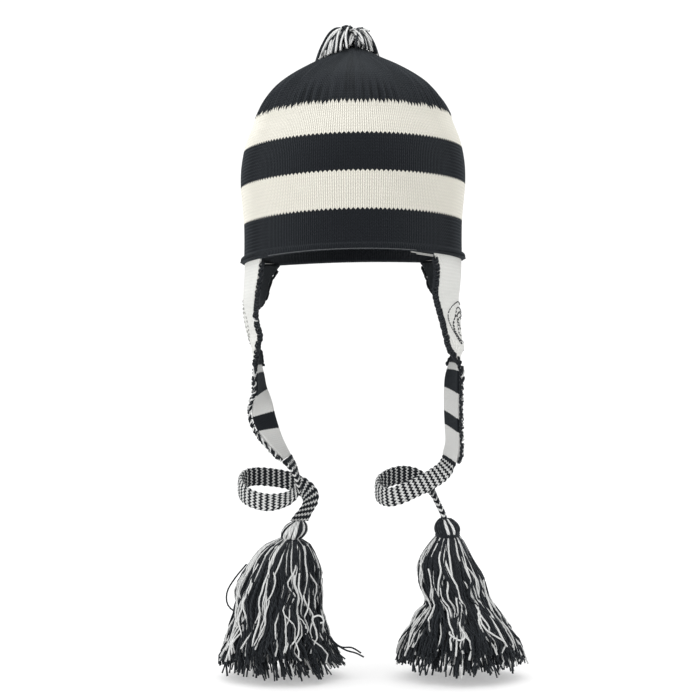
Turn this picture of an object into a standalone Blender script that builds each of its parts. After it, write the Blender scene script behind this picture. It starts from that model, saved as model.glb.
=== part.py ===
"""Knitted earflap hat: a hollow crown with a rolled rim, two lined flaps with whipped edging, striped straps,
flat ties with tassels, and a yarn pompom. Metres, +Z up. The origin is the middle of the head opening, at the
height of the rim's sides, and the front faces -Y."""

import math

import bmesh
import bpy
import numpy as np
from mathutils import Vector

# Crown
CROWN_WIDTH = 0.1670
CROWN_DEPTH = 0.2070
CROWN_HEIGHT = 0.1610
CROWN_WALL = 0.0026
CROWN_SEGMENTS = 60
CROWN_TILT = 0.020  # rise over run towards the right
RIB_COUNT = 15
RIB_HEIGHT = 0.0009
RIB_FADE = 2.5  # the ribs lower inside this share of the half width, turned over
RIM_ROLL = 0.0024  # radius of the rolled rim
RIM_ROLL_OUT, RIM_ROLL_UP = 0.10, 0.85  # place of its middle, in its radii, from the wall and the origin's level
RIM_ROLL_DEGREES = (-145, -105, -65, -25, 15, 55)
RIM_FRONT_LIFT = 0.0040
RIM_BACK_LIFT = 0.0060

GAP = 0.0003  # between neighbouring pieces

# Flaps and straps
FLAP_WIDTH = 0.1500
FLAP_DROP = 0.0776
FLAP_LAYER = 0.0015
STRAP_DROP = 0.0689
STRAP_WIDTH = 0.0168
STRAP_THICKNESS = 2 * FLAP_LAYER + GAP
STRAP_SLANT = {"left": 0.22, "right": 0.40}  # rise of a strap's courses per width, towards its rear edge
STRAP_SLANT_FULL = 1.35  # where the slant is complete, as in FLAP_ROWS
EDGING_RADIUS = 0.0015
EDGING_START = 0.025  # share of the flap's drop where the edging begins under the rim
RIM_CLEARANCE = 0.0005  # between the rolled rim and a flap's upper edge
FLAP_GAP = RIM_ROLL * (1 - RIM_ROLL_UP) + RIM_CLEARANCE
FLAP_COLUMNS, STRAP_COLUMNS = 9, 4
SHARE_STEP = 0.01  # shares between the places that a direction is read from

# Ties, tassels and pompom
TIE_WIDTH = 0.0138
TIE_THICKNESS = 0.0038
TIE_EDGE_THICKNESS = 0.55  # of the middle thickness
TIE_MIDDLE = 0.22  # share of the width, each way, over which the tie has its middle thickness
TIE_SECTIONS = 33
TASSEL_LENGTH = 0.1100
TASSEL_RADIUS = 0.0500
TASSEL_DEPTH_SHARE = 0.90
TASSEL_LOCKS = 12
TASSEL_SIDES = 12
TASSEL_HOLLOW = 0.0040  # rise of the middle of the tassel's lower end
LOCK_SWAY = 0.10  # radians
LOCK_THICKNESS, LOCK_UNEVENNESS = 0.30, 0.035  # of the tassel's radius
LOCK_END_LIFT = 0.0015  # the locks end up to twice this far above the lowest
POMPOM_REACH = 0.0280
POMPOM_KNOT = 0.0060
POMPOM_LOCKS = 13
POMPOM_LOCK_RADIUS = 0.0036
POMPOM_LOCK_STEPS = 5

# Height as a share of CROWN_HEIGHT, half width as a share of half CROWN_WIDTH, yarn of the band above the row
CROWN_ROWS = (
    (0.034, 0.970, "black"),
    (0.100, 0.969, "black"),
    (0.185, 0.972, "cream"),
    (0.266, 0.986, "cream"),
    (0.348, 1.000, "black"),
    (0.435, 0.997, "black"),
    (0.519, 0.971, "cream"),
    (0.571, 0.940, "cream"),
    (0.615, 0.905, "cream"),
    (0.675, 0.864, "black"),
    (0.745, 0.790, "black"),
    (0.801, 0.700, "black"),
    (0.851, 0.576, "black"),
    (0.898, 0.425, "black"),
    (0.941, 0.262, "black"),
    (0.975, 0.144, "black"),
    (0.995, 0.050, "black"),
)
INNER_ROWS = (0, 2, 4, 6, 9, 11, 13, 14)  # the crown rows that the inner surface follows
RIBS_FROM, RIBS_FULL = 0.60, 0.80  # height shares between which the ribs rise to their full height
TILT_FROM, TILT_NONE = 0.66, 0.92  # height shares between which the crown's tilt fades out

# Each flap and its strap, seen from above: drop below the rim (0 to 1 down the flap, 1 to 2 down the strap),
# middle outward as a share of half CROWN_WIDTH, middle backward as a share of half CROWN_DEPTH, turn of the
# section in degrees, spread (0 is STRAP_WIDTH, 1 is FLAP_WIDTH), outward bow as a share of half CROWN_WIDTH
FLAP_ROWS = {
    "left": (
        (0.000, 0.760, 0.050, 4.8, 0.812, 0.210),
        (0.181, 0.805, -0.019, 2.0, 0.655, 0.174),
        (0.338, 0.852, -0.039, -0.2, 0.535, 0.129),
        (0.478, 0.915, -0.014, -6.3, 0.365, 0.066),
        (0.602, 0.914, -0.029, -10.9, 0.200, 0.048),
        (0.718, 0.891, -0.024, -15.0, 0.090, 0.042),
        (0.825, 0.874, -0.008, 0.0, 0.024, 0.036),
        (0.900, 0.869, 0.000, 6.0, 0.008, 0.030),
        (0.963, 0.869, 0.000, 11.0, 0.000, 0.024),
        (1.102, 0.857, 0.000, 19.0, 0.000, 0.012),
        (1.270, 0.844, 0.000, 30.0, 0.000, 0.007),
        (1.509, 0.808, 0.000, 80.0, 0.000, 0.006),
        (1.676, 0.768, 0.000, 66.0, 0.000, 0.006),
        (1.820, 0.710, -0.010, 46.0, -0.012, 0.000),
        (2.000, 0.612, -0.010, 22.0, -0.030, 0.000),
    ),
    "right": (
        (0.000, 0.645, 0.014, 3.3, 0.947, 0.323),
        (0.173, 0.689, -0.010, 0.4, 0.790, 0.269),
        (0.272, 0.740, -0.014, -2.7, 0.692, 0.216),
        (0.371, 0.812, -0.019, -8.0, 0.573, 0.134),
        (0.487, 0.862, -0.029, -12.0, 0.414, 0.092),
        (0.602, 0.892, -0.019, -15.5, 0.252, 0.060),
        (0.726, 0.915, -0.019, -20.5, 0.114, 0.046),
        (0.835, 0.940, -0.014, -26.0, 0.037, 0.040),
        (0.931, 0.930, -0.005, 10.0, 0.009, 0.030),
        (1.030, 0.918, 0.000, 32.0, 0.000, 0.018),
        (1.162, 0.905, 0.000, 39.0, 0.000, 0.012),
        (1.473, 0.902, 0.000, 39.0, 0.000, 0.007),
        (1.689, 0.908, 0.000, 38.0, 0.000, 0.006),
        (1.856, 0.911, 0.000, 38.0, -0.006, 0.004),
        (2.000, 0.884, 0.000, 42.0, -0.014, 0.000),
    ),
}
FLAP_ROW_COUNT = 13
FLAP_SEAT = 0.37  # share of the flap over which its section leaves the crown's oval for the table's bow
STRAP_STRIPES = {
    "left": ((0.070, "cream"), (0.287, "black"), (0.515, "cream"), (0.690, "black"), (1.0, "cream")),
    "right": ((0.040, "cream"), (0.255, "black"), (0.515, "cream"), (0.665, "black"), (1.0, "cream")),
}

# Each tie from the end of its strap: place in metres, then the direction across the tie
TIE_ROUTES = {
    "left": (
        (0.0000, 0.0000, 0.0000, 0.36, 0.88, 0.35),
        (0.0048, -0.0010, -0.0070, 0.20, 0.97, 0.20),
        (0.0080, -0.0050, -0.0150, 0.00, 1.00, 0.10),
        (0.0087, -0.0130, -0.0216, -0.10, 0.90, 0.45),
        (0.0016, -0.0190, -0.0284, 0.00, 0.75, 0.66),
        (-0.0130, -0.0230, -0.0309, 0.00, 0.55, 0.83),
        (-0.0275, -0.0170, -0.0276, 0.00, 0.30, 0.95),
        (-0.0343, -0.0040, -0.0222, 0.00, 0.00, 1.00),
        (-0.0330, 0.0090, -0.0170, 0.00, 0.00, 1.00),
        (-0.0249, 0.0160, -0.0150, 0.00, 0.00, 1.00),
        (-0.0121, 0.0180, -0.0158, 0.00, 0.00, 1.00),
        (0.0017, 0.0150, -0.0182, 0.00, 0.00, 1.00),
        (0.0125, 0.0100, -0.0230, 0.35, 0.00, 0.93),
        (0.0175, 0.0050, -0.0291, 0.80, 0.00, 0.60),
        (0.0165, 0.0020, -0.0355, 1.00, 0.00, 0.30),
        (0.0124, 0.0010, -0.0415, 1.00, 0.00, 0.15),
        (0.0092, 0.0010, -0.0470, 1.00, 0.00, 0.00),
    ),
    "right": (
        (0.0000, 0.0000, 0.0000, -0.62, 0.69, 0.37),
        (-0.0045, -0.0040, -0.0080, -0.60, 0.35, 0.70),
        (-0.0138, -0.0110, -0.0141, -0.50, 0.10, 0.86),
        (-0.0256, -0.0170, -0.0196, -0.42, 0.00, 0.90),
        (-0.0370, -0.0200, -0.0246, -0.30, 0.00, 0.95),
        (-0.0468, -0.0160, -0.0273, -0.10, 0.00, 1.00),
        (-0.0535, -0.0050, -0.0247, 0.00, 0.00, 1.00),
        (-0.0529, 0.0060, -0.0200, 0.00, 0.00, 1.00),
        (-0.0454, 0.0140, -0.0154, 0.00, 0.00, 1.00),
        (-0.0342, 0.0180, -0.0133, 0.00, 0.00, 1.00),
        (-0.0230, 0.0160, -0.0156, 0.10, 0.35, 0.93),
        (-0.0154, 0.0100, -0.0206, 0.20, 0.75, 0.60),
        (-0.0118, 0.0040, -0.0270, 0.10, 1.00, 0.10),
        (-0.0086, 0.0010, -0.0338, 0.00, 1.00, 0.00),
        (-0.0054, 0.0000, -0.0403, 0.00, 1.00, 0.00),
        (-0.0042, 0.0000, -0.0443, 0.00, 1.00, 0.00),
    ),
}

# Each tassel from the end of its tie: drop as a share of TASSEL_LENGTH, middle outward and radius as shares of
# TASSEL_RADIUS
TASSEL_ROWS = {
    "left": (
        (0.006, 0.00, 0.10),
        (0.055, 0.06, 0.17),
        (0.105, 0.12, 0.25),
        (0.165, 0.17, 0.34),
        (0.220, 0.21, 0.44),
        (0.410, 0.28, 0.61),
        (0.630, 0.31, 0.65),
        (0.790, 0.31, 0.76),
        (0.930, 0.27, 0.92),
        (1.000, 0.25, 1.00),
    ),
    "right": (
        (0.006, 0.02, 0.10),
        (0.050, 0.04, 0.18),
        (0.105, 0.05, 0.17),
        (0.135, 0.05, 0.21),
        (0.275, 0.03, 0.39),
        (0.390, 0.09, 0.46),
        (0.520, 0.17, 0.47),
        (0.580, 0.23, 0.49),
        (0.645, 0.23, 0.61),
        (0.800, 0.25, 0.82),
        (1.000, 0.25, 1.00),
    ),
}
TASSEL_HEAD_ROWS = 3  # rows of the head, above the locks
TASSEL_LOCK_SHARES = (0.10, 0.24, 0.39, 0.55, 0.66, 0.82, 1.0)  # drops where each lock has a section
HEAD_FULLNESS, CORE_FULLNESS = 0.97, 0.72  # radius of the head and of the core inside the locks

# Pompom locks by bearing: how far each reaches, how high it arches and how low it ends, as shares of POMPOM_REACH
POMPOM_LEFT = (1.00, 0.30, -0.62)
POMPOM_RIGHT = (0.60, 0.26, -0.30)
POMPOM_CREST = 0.25  # where each lock is highest, as a share of its length
POMPOM_DEPTH_SHARE = 0.80

YARNS = {
    "black": ((0.018, 0.020, 0.023, 1.0), 0.9),
    "cream": ((0.78, 0.74, 0.66, 1.0), 0.9),
    "marled": ((0.30, 0.29, 0.28, 1.0), 0.9),
}

HALF_WIDTH = CROWN_WIDTH / 2
HALF_DEPTH = CROWN_DEPTH / 2
OUTWARD = {"left": -1.0, "right": 1.0}


def clear_scene():
    for obj in list(bpy.data.objects):
        bpy.data.objects.remove(obj, do_unlink=True)


def new_collection(name, hidden=False):
    collection = bpy.data.collections.new(name)
    collection.hide_render = hidden
    bpy.context.scene.collection.children.link(collection)
    return collection


def yarn_material(yarn, piece):
    colour, roughness = YARNS[yarn]
    material = bpy.data.materials.new(f"{yarn} yarn of {piece}")
    material.use_nodes = True
    shader = material.node_tree.nodes["Principled BSDF"]
    shader.inputs["Base Color"].default_value = colour
    shader.inputs["Roughness"].default_value = roughness
    shader.inputs["Metallic"].default_value = 0.0
    return material


def mesh_object(name, points, faces, yarns, face_yarns, collection):
    """A smooth-shaded mesh object whose faces take the yarn named for each, with its faces turned outward."""
    mesh = bpy.data.meshes.new(name)
    mesh.from_pydata([tuple(point) for point in points], [], faces)
    for yarn in yarns:
        mesh.materials.append(yarn_material(yarn, name))
    for polygon, yarn in zip(mesh.polygons, face_yarns):
        polygon.material_index = yarns.index(yarn)
    shape = bmesh.new()
    shape.from_mesh(mesh)
    bmesh.ops.recalc_face_normals(shape, faces=shape.faces)
    shape.to_mesh(mesh)
    shape.free()
    mesh.shade_smooth()
    mesh.set_sharp_from_angle(angle=math.radians(55))
    obj = bpy.data.objects.new(name, mesh)
    collection.objects.link(obj)
    return obj


def smooth_at(rows, key):
    """The columns after the first at this key, on a smooth curve through the rows."""
    keys = [row[0] for row in rows]
    values = np.array([row[1:] for row in rows], dtype=float)
    key = min(max(key, keys[0]), keys[-1])
    low = min(max(int(np.searchsorted(keys, key)) - 1, 0), len(keys) - 2)

    def slope(index):
        before = max(index - 1, 0)
        after = min(index + 1, len(keys) - 1)
        return (values[after] - values[before]) / (keys[after] - keys[before])

    span = keys[low + 1] - keys[low]
    t = (key - keys[low]) / span
    start = (2 * t**3 - 3 * t**2 + 1) * values[low] + (t**3 - 2 * t**2 + t) * span * slope(low)
    end = (3 * t**2 - 2 * t**3) * values[low + 1] + (t**3 - t**2) * span * slope(low + 1)
    return start + end


def ease(low, high, value):
    t = min(max((value - low) / (high - low), 0.0), 1.0)
    return t * t * (3 - 2 * t)


def rim_lift(y, share):
    """How far the knitting stands above the level of the rim's sides, fading out up the crown and down the flaps."""
    lift = RIM_FRONT_LIFT if y < 0 else RIM_BACK_LIFT
    return lift * (y / HALF_DEPTH) ** 2 * max(1 - share, 0.0) ** 1.5


def crown_ring(half_width, height, share):
    """One oval ring of the crown, with the gathered ribs near the top."""
    rib = RIB_HEIGHT * ease(RIBS_FROM, RIBS_FULL, share) * min(1.0, RIB_FADE * half_width / HALF_WIDTH)
    ring = []
    for index in range(CROWN_SEGMENTS):
        angle = 2 * math.pi * index / CROWN_SEGMENTS
        reach = half_width + rib * math.cos(RIB_COUNT * angle)
        x = reach * math.cos(angle)
        y = reach * math.sin(angle) * CROWN_DEPTH / CROWN_WIDTH
        tilt = CROWN_TILT * x * (1 - ease(TILT_FROM, TILT_NONE, share))
        ring.append((x, y, height + tilt + rim_lift(y, share)))
    return ring


def crown_profile():
    """(half width, height, height share, yarn) of each ring: up the inside, round the rolled rim, up the outside."""
    outside = [(HALF_WIDTH * width, CROWN_HEIGHT * share, share, yarn) for share, width, yarn in CROWN_ROWS]
    inside = []
    for index in INNER_ROWS:
        half_width, height, share, yarn = outside[index]
        above = outside[index + 1]
        below = outside[max(index - 1, 0)]
        run, rise = above[0] - below[0], above[1] - below[1]
        length = math.hypot(run, rise)
        inside.append((half_width - CROWN_WALL * rise / length, height + CROWN_WALL * run / length, share, yarn))
    wall = HALF_WIDTH * CROWN_ROWS[0][1]
    roll = []
    for degrees in RIM_ROLL_DEGREES:
        angle = math.radians(degrees)
        half_width = wall + RIM_ROLL * (RIM_ROLL_OUT + math.cos(angle))
        height = RIM_ROLL * (RIM_ROLL_UP + math.sin(angle))
        roll.append((half_width, height, height / CROWN_HEIGHT, "black"))
    return inside[::-1], roll, outside


def build_crown(collection):
    inside, roll, outside = crown_profile()
    rings = inside + roll + outside
    points = [(0.0, 0.0, CROWN_HEIGHT - CROWN_WALL)]
    for half_width, height, share, _ in rings:
        points.extend(crown_ring(half_width, height, share))
    points.append((0.0, 0.0, CROWN_HEIGHT))
    faces = []
    face_yarns = []
    count = CROWN_SEGMENTS
    for index in range(count):
        after = (index + 1) % count
        faces.append((0, 1 + after, 1 + index))
        face_yarns.append("black")
    for row in range(len(rings) - 1):
        yarn = rings[row + 1][3] if row < len(inside) - 1 else rings[row][3]
        for index in range(count):
            after = (index + 1) % count
            low, high = 1 + row * count, 1 + (row + 1) * count
            faces.append((low + index, low + after, high + after, high + index))
            face_yarns.append(yarn)
    last = 1 + (len(rings) - 1) * count
    for index in range(count):
        faces.append((last + index, last + (index + 1) % count, len(points) - 1))
        face_yarns.append("black")
    return mesh_object("crown", points, faces, ["black", "cream"], face_yarns, collection)


def side_height(down):
    """The level of this place on the flap (0 to 1) or the strap (1 to 2)."""
    return -FLAP_DROP * min(down, 1.0) - STRAP_DROP * max(down - 1.0, 0.0)


def side_point(side, down, across):
    """A point of the outer surface of a flap and its strap, from the front edge (0) to the rear edge (1)."""
    out, back, turn, spread, bow = smooth_at(FLAP_ROWS[side], down)
    chord = STRAP_WIDTH + spread * (FLAP_WIDTH - STRAP_WIDTH)
    along = (across - 0.5) * chord
    reach = HALF_WIDTH * (out + bow * 4 * across * (1 - across)) - along * math.sin(math.radians(turn))
    y = HALF_DEPTH * back + along * math.cos(math.radians(turn))
    wall = CROWN_ROWS[0][1]
    oval = HALF_WIDTH * wall * math.sqrt(max(1 - (y / (HALF_DEPTH * wall)) ** 2, 0.0))
    reach += (oval - reach) * (1 - ease(0.0, FLAP_SEAT, down))
    x = OUTWARD[side] * reach
    slant = STRAP_SLANT[side] * ease(1.0, STRAP_SLANT_FULL, down) * along
    tilt = CROWN_TILT * x * (1 - ease(0.0, 1.0, down))
    return Vector((x, y, side_height(down) - FLAP_GAP + slant + tilt + rim_lift(y, min(down, 1.0))))


def side_frame(side, down, across):
    """The point, the direction towards the rear edge, and the outward normal."""
    step = SHARE_STEP
    point = side_point(side, down, across)
    rearward = (side_point(side, down, across + step) - side_point(side, down, across - step)).normalized()
    downward = side_point(side, min(down + step, 2.0), across) - side_point(side, max(down - step, 0.0), across)
    normal = rearward.cross(downward).normalized() * -OUTWARD[side]
    return point, rearward, normal


def side_grid(side, downs, columns, depth):
    """Rows of points at this depth below the outer surface."""
    grid = []
    for down in downs:
        row = []
        for column in range(columns):
            point, _, normal = side_frame(side, down, column / (columns - 1))
            row.append(point - normal * depth)
        grid.append(row)
    return grid


def slab(name, front, back, yarns, row_yarns, collection):
    """A closed sheet between two grids of points."""
    rows, columns = len(front), len(front[0])
    points = [point for row in front for point in row] + [point for row in back for point in row]
    other = rows * columns
    faces = []
    face_yarns = []

    def add(a, b, c, d, row):
        faces.append((a, b, c, d))
        face_yarns.append(row_yarns[min(row, rows - 2)])

    for row in range(rows - 1):
        for column in range(columns - 1):
            a = row * columns + column
            add(a, a + 1, a + columns + 1, a + columns, row)
            add(other + a, other + a + columns, other + a + columns + 1, other + a + 1, row)
        for a in (row * columns, row * columns + columns - 1):
            add(a, a + columns, other + a + columns, other + a, row)
    for row in (0, rows - 1):
        for column in range(columns - 1):
            a = row * columns + column
            add(a, a + 1, other + a + 1, other + a, row)
    return mesh_object(name, points, faces, yarns, face_yarns, collection)


def flap_downs():
    """Where the flap's sections lie, with a gap left before the strap."""
    last = 1.0 - 2 * GAP / FLAP_DROP
    return [last * index / (FLAP_ROW_COUNT - 1) for index in range(FLAP_ROW_COUNT)]


def strap_downs(side):
    """Where the strap's sections lie: at each stripe's ends and middle."""
    downs = [1.0]
    for end, _ in STRAP_STRIPES[side]:
        downs.extend(((downs[-1] + 1.0 + end) / 2, 1.0 + end))
    return downs


def build_flap(side, collection):
    downs = flap_downs()
    columns = FLAP_COLUMNS
    plain = len(downs) - 1
    outer = side_grid(side, downs, columns, 0.0)
    inner = side_grid(side, downs, columns, FLAP_LAYER)
    slab(f"flap_{side}", outer, inner, ["cream"], ["cream"] * plain, collection)
    outer = side_grid(side, downs, columns, FLAP_LAYER + GAP)
    inner = side_grid(side, downs, columns, 2 * FLAP_LAYER + GAP)
    slab(f"lining_{side}", outer, inner, ["black"], ["black"] * plain, collection)


def build_strap(side, collection):
    downs = strap_downs(side)
    row_yarns = [yarn for _, yarn in STRAP_STRIPES[side] for _ in range(2)]
    front = side_grid(side, downs, STRAP_COLUMNS, 0.0)
    back = side_grid(side, downs, STRAP_COLUMNS, STRAP_THICKNESS)
    slab(f"strap_{side}", front, back, ["black", "cream"], row_yarns, collection)


def curve_tube(name, points, radii, sides_resolution, collection):
    """A round tube through the points, with filled ends and its own radius at each point."""
    curve = bpy.data.curves.new(name, "CURVE")
    curve.dimensions = "3D"
    curve.bevel_depth = 1.0
    curve.bevel_resolution = sides_resolution
    curve.use_fill_caps = True
    spline = curve.splines.new("POLY")
    spline.points.add(len(points) - 1)
    for spot, point, radius in zip(spline.points, points, radii):
        spot.co = (*point, 1.0)
        spot.radius = radius
    obj = bpy.data.objects.new(name, curve)
    collection.objects.link(obj)
    return obj


def build_edging(side, edge, collection):
    """The whipped edging beside the front or rear edge, at the middle of the cloth's thickness."""
    downs = [EDGING_START] + flap_downs()[1:]
    if edge == "front":
        downs = downs[:-1] + strap_downs(side)
    across = 0.0 if edge == "front" else 1.0
    points = []
    for down in downs:
        point, rearward, normal = side_frame(side, down, across)
        before = side_point(side, max(down - SHARE_STEP, 0.0), across)
        after = side_point(side, min(down + SHARE_STEP, 2.0), across)
        along = (after - before).normalized()
        beyond = (rearward - along * rearward.dot(along)).normalized() * (2 * across - 1)
        points.append(point - normal * STRAP_THICKNESS / 2 + beyond * (EDGING_RADIUS + 2 * GAP))
    name = f"edging_{edge}_{side}"
    edging = curve_tube(name, points, [EDGING_RADIUS] * len(points), 2, collection)
    edging.data.materials.append(yarn_material("marled", name))


def smooth_route(rows, count):
    """Evenly numbered points on a smooth curve through the rows."""
    keyed = [(float(index), *row) for index, row in enumerate(rows)]
    last = len(rows) - 1
    return [smooth_at(keyed, last * index / (count - 1)) for index in range(count)]


def build_tie(side, collection):
    """A flat band with thinner edges along its route, from the strap's lower end. Returns the route's end."""
    end, rearward, outward = side_frame(side, 2.0, 0.5)
    downward = rearward.cross(outward).normalized()
    downward = downward if downward.z < 0 else -downward
    start = end - outward * STRAP_THICKNESS / 2 + downward * 2 * GAP
    rows = smooth_route(TIE_ROUTES[side], TIE_SECTIONS)
    places = [start + Vector(row[:3]) for row in rows]
    front = []
    back = []
    for index, row in enumerate(rows):
        along = places[min(index + 1, len(rows) - 1)] - places[max(index - 1, 0)]
        across = Vector(row[3:]).normalized()
        if index == 0:
            along, across = downward, rearward
        normal = along.cross(across).normalized()
        front.append([])
        back.append([])
        edge = TIE_EDGE_THICKNESS
        for share, fullness in ((-0.5, edge), (-TIE_MIDDLE, 1.0), (TIE_MIDDLE, 1.0), (0.5, edge)):
            middle = places[index] + across * TIE_WIDTH * share
            thickness = normal * TIE_THICKNESS / 2 * fullness
            front[-1].append(middle + thickness)
            back[-1].append(middle - thickness)
    slab(f"tie_{side}", front, back, ["marled"], ["marled"] * (len(rows) - 1), collection)
    return places[-1]


def as_mesh(obj, collection):
    """The tube as a welded mesh object, in place of its curve."""
    graph = bpy.context.evaluated_depsgraph_get()
    mesh = bpy.data.meshes.new_from_object(obj.evaluated_get(graph))
    shape = bmesh.new()
    shape.from_mesh(mesh)
    bmesh.ops.remove_doubles(shape, verts=shape.verts, dist=0.00001)
    bmesh.ops.recalc_face_normals(shape, faces=shape.faces)
    shape.to_mesh(mesh)
    shape.free()
    name = obj.name
    made = bpy.data.objects.new(name + " solid", mesh)
    made.matrix_world = obj.matrix_world
    made.display_type = "WIRE"
    made.hide_render = True
    collection.objects.link(made)
    bpy.data.objects.remove(obj, do_unlink=True)
    return made


def fuse(body, locks_name, tubes):
    """Joins the tubes to the body as one closed solid."""
    locks = new_collection(locks_name, hidden=True)
    for tube in tubes:
        as_mesh(tube, locks)
    union = body.modifiers.new("locks", "BOOLEAN")
    union.operation = "UNION"
    union.operand_type = "COLLECTION"
    union.collection = locks
    union.solver = "EXACT"


def build_tassel(side, top, collection, guides):
    """Tapering locks round a core, gathered in a head under the tie."""

    def section(share):
        out, radius = smooth_at(TASSEL_ROWS[side], share)
        middle = top + Vector((OUTWARD[side] * out * TASSEL_RADIUS, 0, -GAP - share * TASSEL_LENGTH))
        return middle, radius * TASSEL_RADIUS

    shares = [row[0] for row in TASSEL_ROWS[side][:TASSEL_HEAD_ROWS]] + list(TASSEL_LOCK_SHARES[1:])
    sides = TASSEL_SIDES
    points = [top + Vector((0, 0, -GAP))]
    for index, share in enumerate(shares):
        middle, radius = section(share)
        fullness = HEAD_FULLNESS if index < TASSEL_HEAD_ROWS else CORE_FULLNESS
        for step in range(sides):
            angle = 2 * math.pi * (step + 0.31) / sides
            x = math.cos(angle) * radius * fullness
            y = math.sin(angle) * radius * fullness * TASSEL_DEPTH_SHARE
            points.append(middle + Vector((x, y, 0)))
    points.append(section(1.0)[0] + Vector((0, 0, TASSEL_HOLLOW)))
    faces = []
    for step in range(sides):
        after = (step + 1) % sides
        faces.append((0, 1 + step, 1 + after))
        for row in range(len(shares) - 1):
            low, high = 1 + row * sides, 1 + (row + 1) * sides
            faces.append((low + step, high + step, high + after, low + after))
        last = 1 + (len(shares) - 1) * sides
        faces.append((last + step, len(points) - 1, last + after))
    name = f"tassel_{side}"
    body = mesh_object(name, points, faces, ["black"], ["black"] * len(faces), collection)
    tubes = []
    for lock in range(TASSEL_LOCKS):
        angle = 2 * math.pi * (lock + 0.5) / TASSEL_LOCKS
        route = []
        radii = []
        for share in TASSEL_LOCK_SHARES:
            middle, radius = section(share)
            bend = angle + LOCK_SWAY * math.sin(5.0 * share + 2.1 * lock)
            thick = radius * (LOCK_THICKNESS + LOCK_UNEVENNESS * math.sin(1.7 * lock + 4.0 * share))
            x = math.cos(bend) * (radius - thick)
            y = math.sin(bend) * (radius - thick) * TASSEL_DEPTH_SHARE
            route.append(middle + Vector((x, y, 0)))
            radii.append(thick)
        route[-1] = route[-1] + Vector((0, 0, LOCK_END_LIFT * (1 + math.sin(2.9 * lock))))
        tubes.append(curve_tube(f"{name} lock {lock}", route, radii, 1, guides))
    fuse(body, f"{name} locks", tubes)


def crown_level(x, y):
    """The height of the crown's outer surface near the tip."""
    reach = math.hypot(x, y * CROWN_WIDTH / CROWN_DEPTH) / HALF_WIDTH
    widths = [0.0] + [row[1] for row in CROWN_ROWS[:8:-1]]
    heights = [1.0] + [row[0] for row in CROWN_ROWS[:8:-1]]
    return CROWN_HEIGHT * float(np.interp(reach, widths, heights)) + RIB_HEIGHT


def build_pompom(collection, guides):
    """A knot on the tip with locks that arch outward and fall."""
    middle = Vector((0.0, 0.0, CROWN_HEIGHT + GAP + POMPOM_KNOT))
    shape = bmesh.new()
    bmesh.ops.create_uvsphere(shape, u_segments=12, v_segments=8, radius=POMPOM_KNOT)
    mesh = bpy.data.meshes.new("pompom")
    shape.to_mesh(mesh)
    shape.free()
    mesh.materials.append(yarn_material("marled", "pompom"))
    mesh.shade_smooth()
    body = bpy.data.objects.new("pompom", mesh)
    body.location = middle
    collection.objects.link(body)
    tubes = []
    for lock in range(POMPOM_LOCKS):
        angle = 2 * math.pi * (lock + 0.5) / POMPOM_LOCKS
        leftness = 0.5 - 0.5 * math.cos(angle)
        reach, arch, end = np.array(POMPOM_RIGHT) + leftness * (np.array(POMPOM_LEFT) - np.array(POMPOM_RIGHT))
        arch += 0.06 * math.sin(2.3 * lock)
        route = []
        radii = []
        for step in range(POMPOM_LOCK_STEPS):
            t = step / (POMPOM_LOCK_STEPS - 1)
            out = POMPOM_REACH * reach * t**1.3 + POMPOM_KNOT * 0.4
            x = out * math.cos(angle)
            y = out * math.sin(angle) * POMPOM_DEPTH_SHARE
            fall = max(t - POMPOM_CREST, 0.0) / (1 - POMPOM_CREST)
            rise = POMPOM_REACH * (arch * min(t / POMPOM_CREST, 1.0) + (end - arch) * fall**1.6)
            radius = POMPOM_LOCK_RADIUS * (0.75 + 0.45 * math.sin(math.pi * t) - 0.15 * t)
            height = max(middle.z + rise, crown_level(x, y) + radius * 1.25 + 2 * GAP)
            route.append(Vector((x, y, height)))
            radii.append(radius)
        tubes.append(curve_tube(f"pompom lock {lock}", route, radii, 1, guides))
    fuse(body, "pompom locks", tubes)


def build_hat():
    clear_scene()
    hat = new_collection("earflap hat")
    guides = new_collection("guides", hidden=True)
    build_crown(hat)
    build_pompom(hat, guides)
    for side in ("left", "right"):
        build_flap(side, hat)
        build_strap(side, hat)
        build_edging(side, "front", hat)
        build_edging(side, "rear", hat)
        tie_end = build_tie(side, hat)
        build_tassel(side, tie_end, hat, guides)


build_hat()
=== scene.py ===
import math

import bpy
import numpy as np
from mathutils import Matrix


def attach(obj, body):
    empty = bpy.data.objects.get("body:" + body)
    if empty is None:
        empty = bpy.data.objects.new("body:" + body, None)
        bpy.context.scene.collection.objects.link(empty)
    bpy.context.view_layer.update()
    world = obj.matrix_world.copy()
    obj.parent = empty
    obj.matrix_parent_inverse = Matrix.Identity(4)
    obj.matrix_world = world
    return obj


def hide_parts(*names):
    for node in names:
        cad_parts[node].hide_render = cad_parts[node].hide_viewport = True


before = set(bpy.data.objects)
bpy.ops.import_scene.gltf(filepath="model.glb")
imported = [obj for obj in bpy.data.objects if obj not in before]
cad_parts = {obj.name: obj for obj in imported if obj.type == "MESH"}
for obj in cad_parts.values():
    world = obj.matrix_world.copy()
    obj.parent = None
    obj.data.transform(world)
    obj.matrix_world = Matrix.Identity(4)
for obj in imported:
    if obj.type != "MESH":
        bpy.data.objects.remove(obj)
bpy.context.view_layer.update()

# Camera
CAMERA_PLACE = (-0.00225, -1.2, -0.066)
CAMERA_LENS = 82.29

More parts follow.
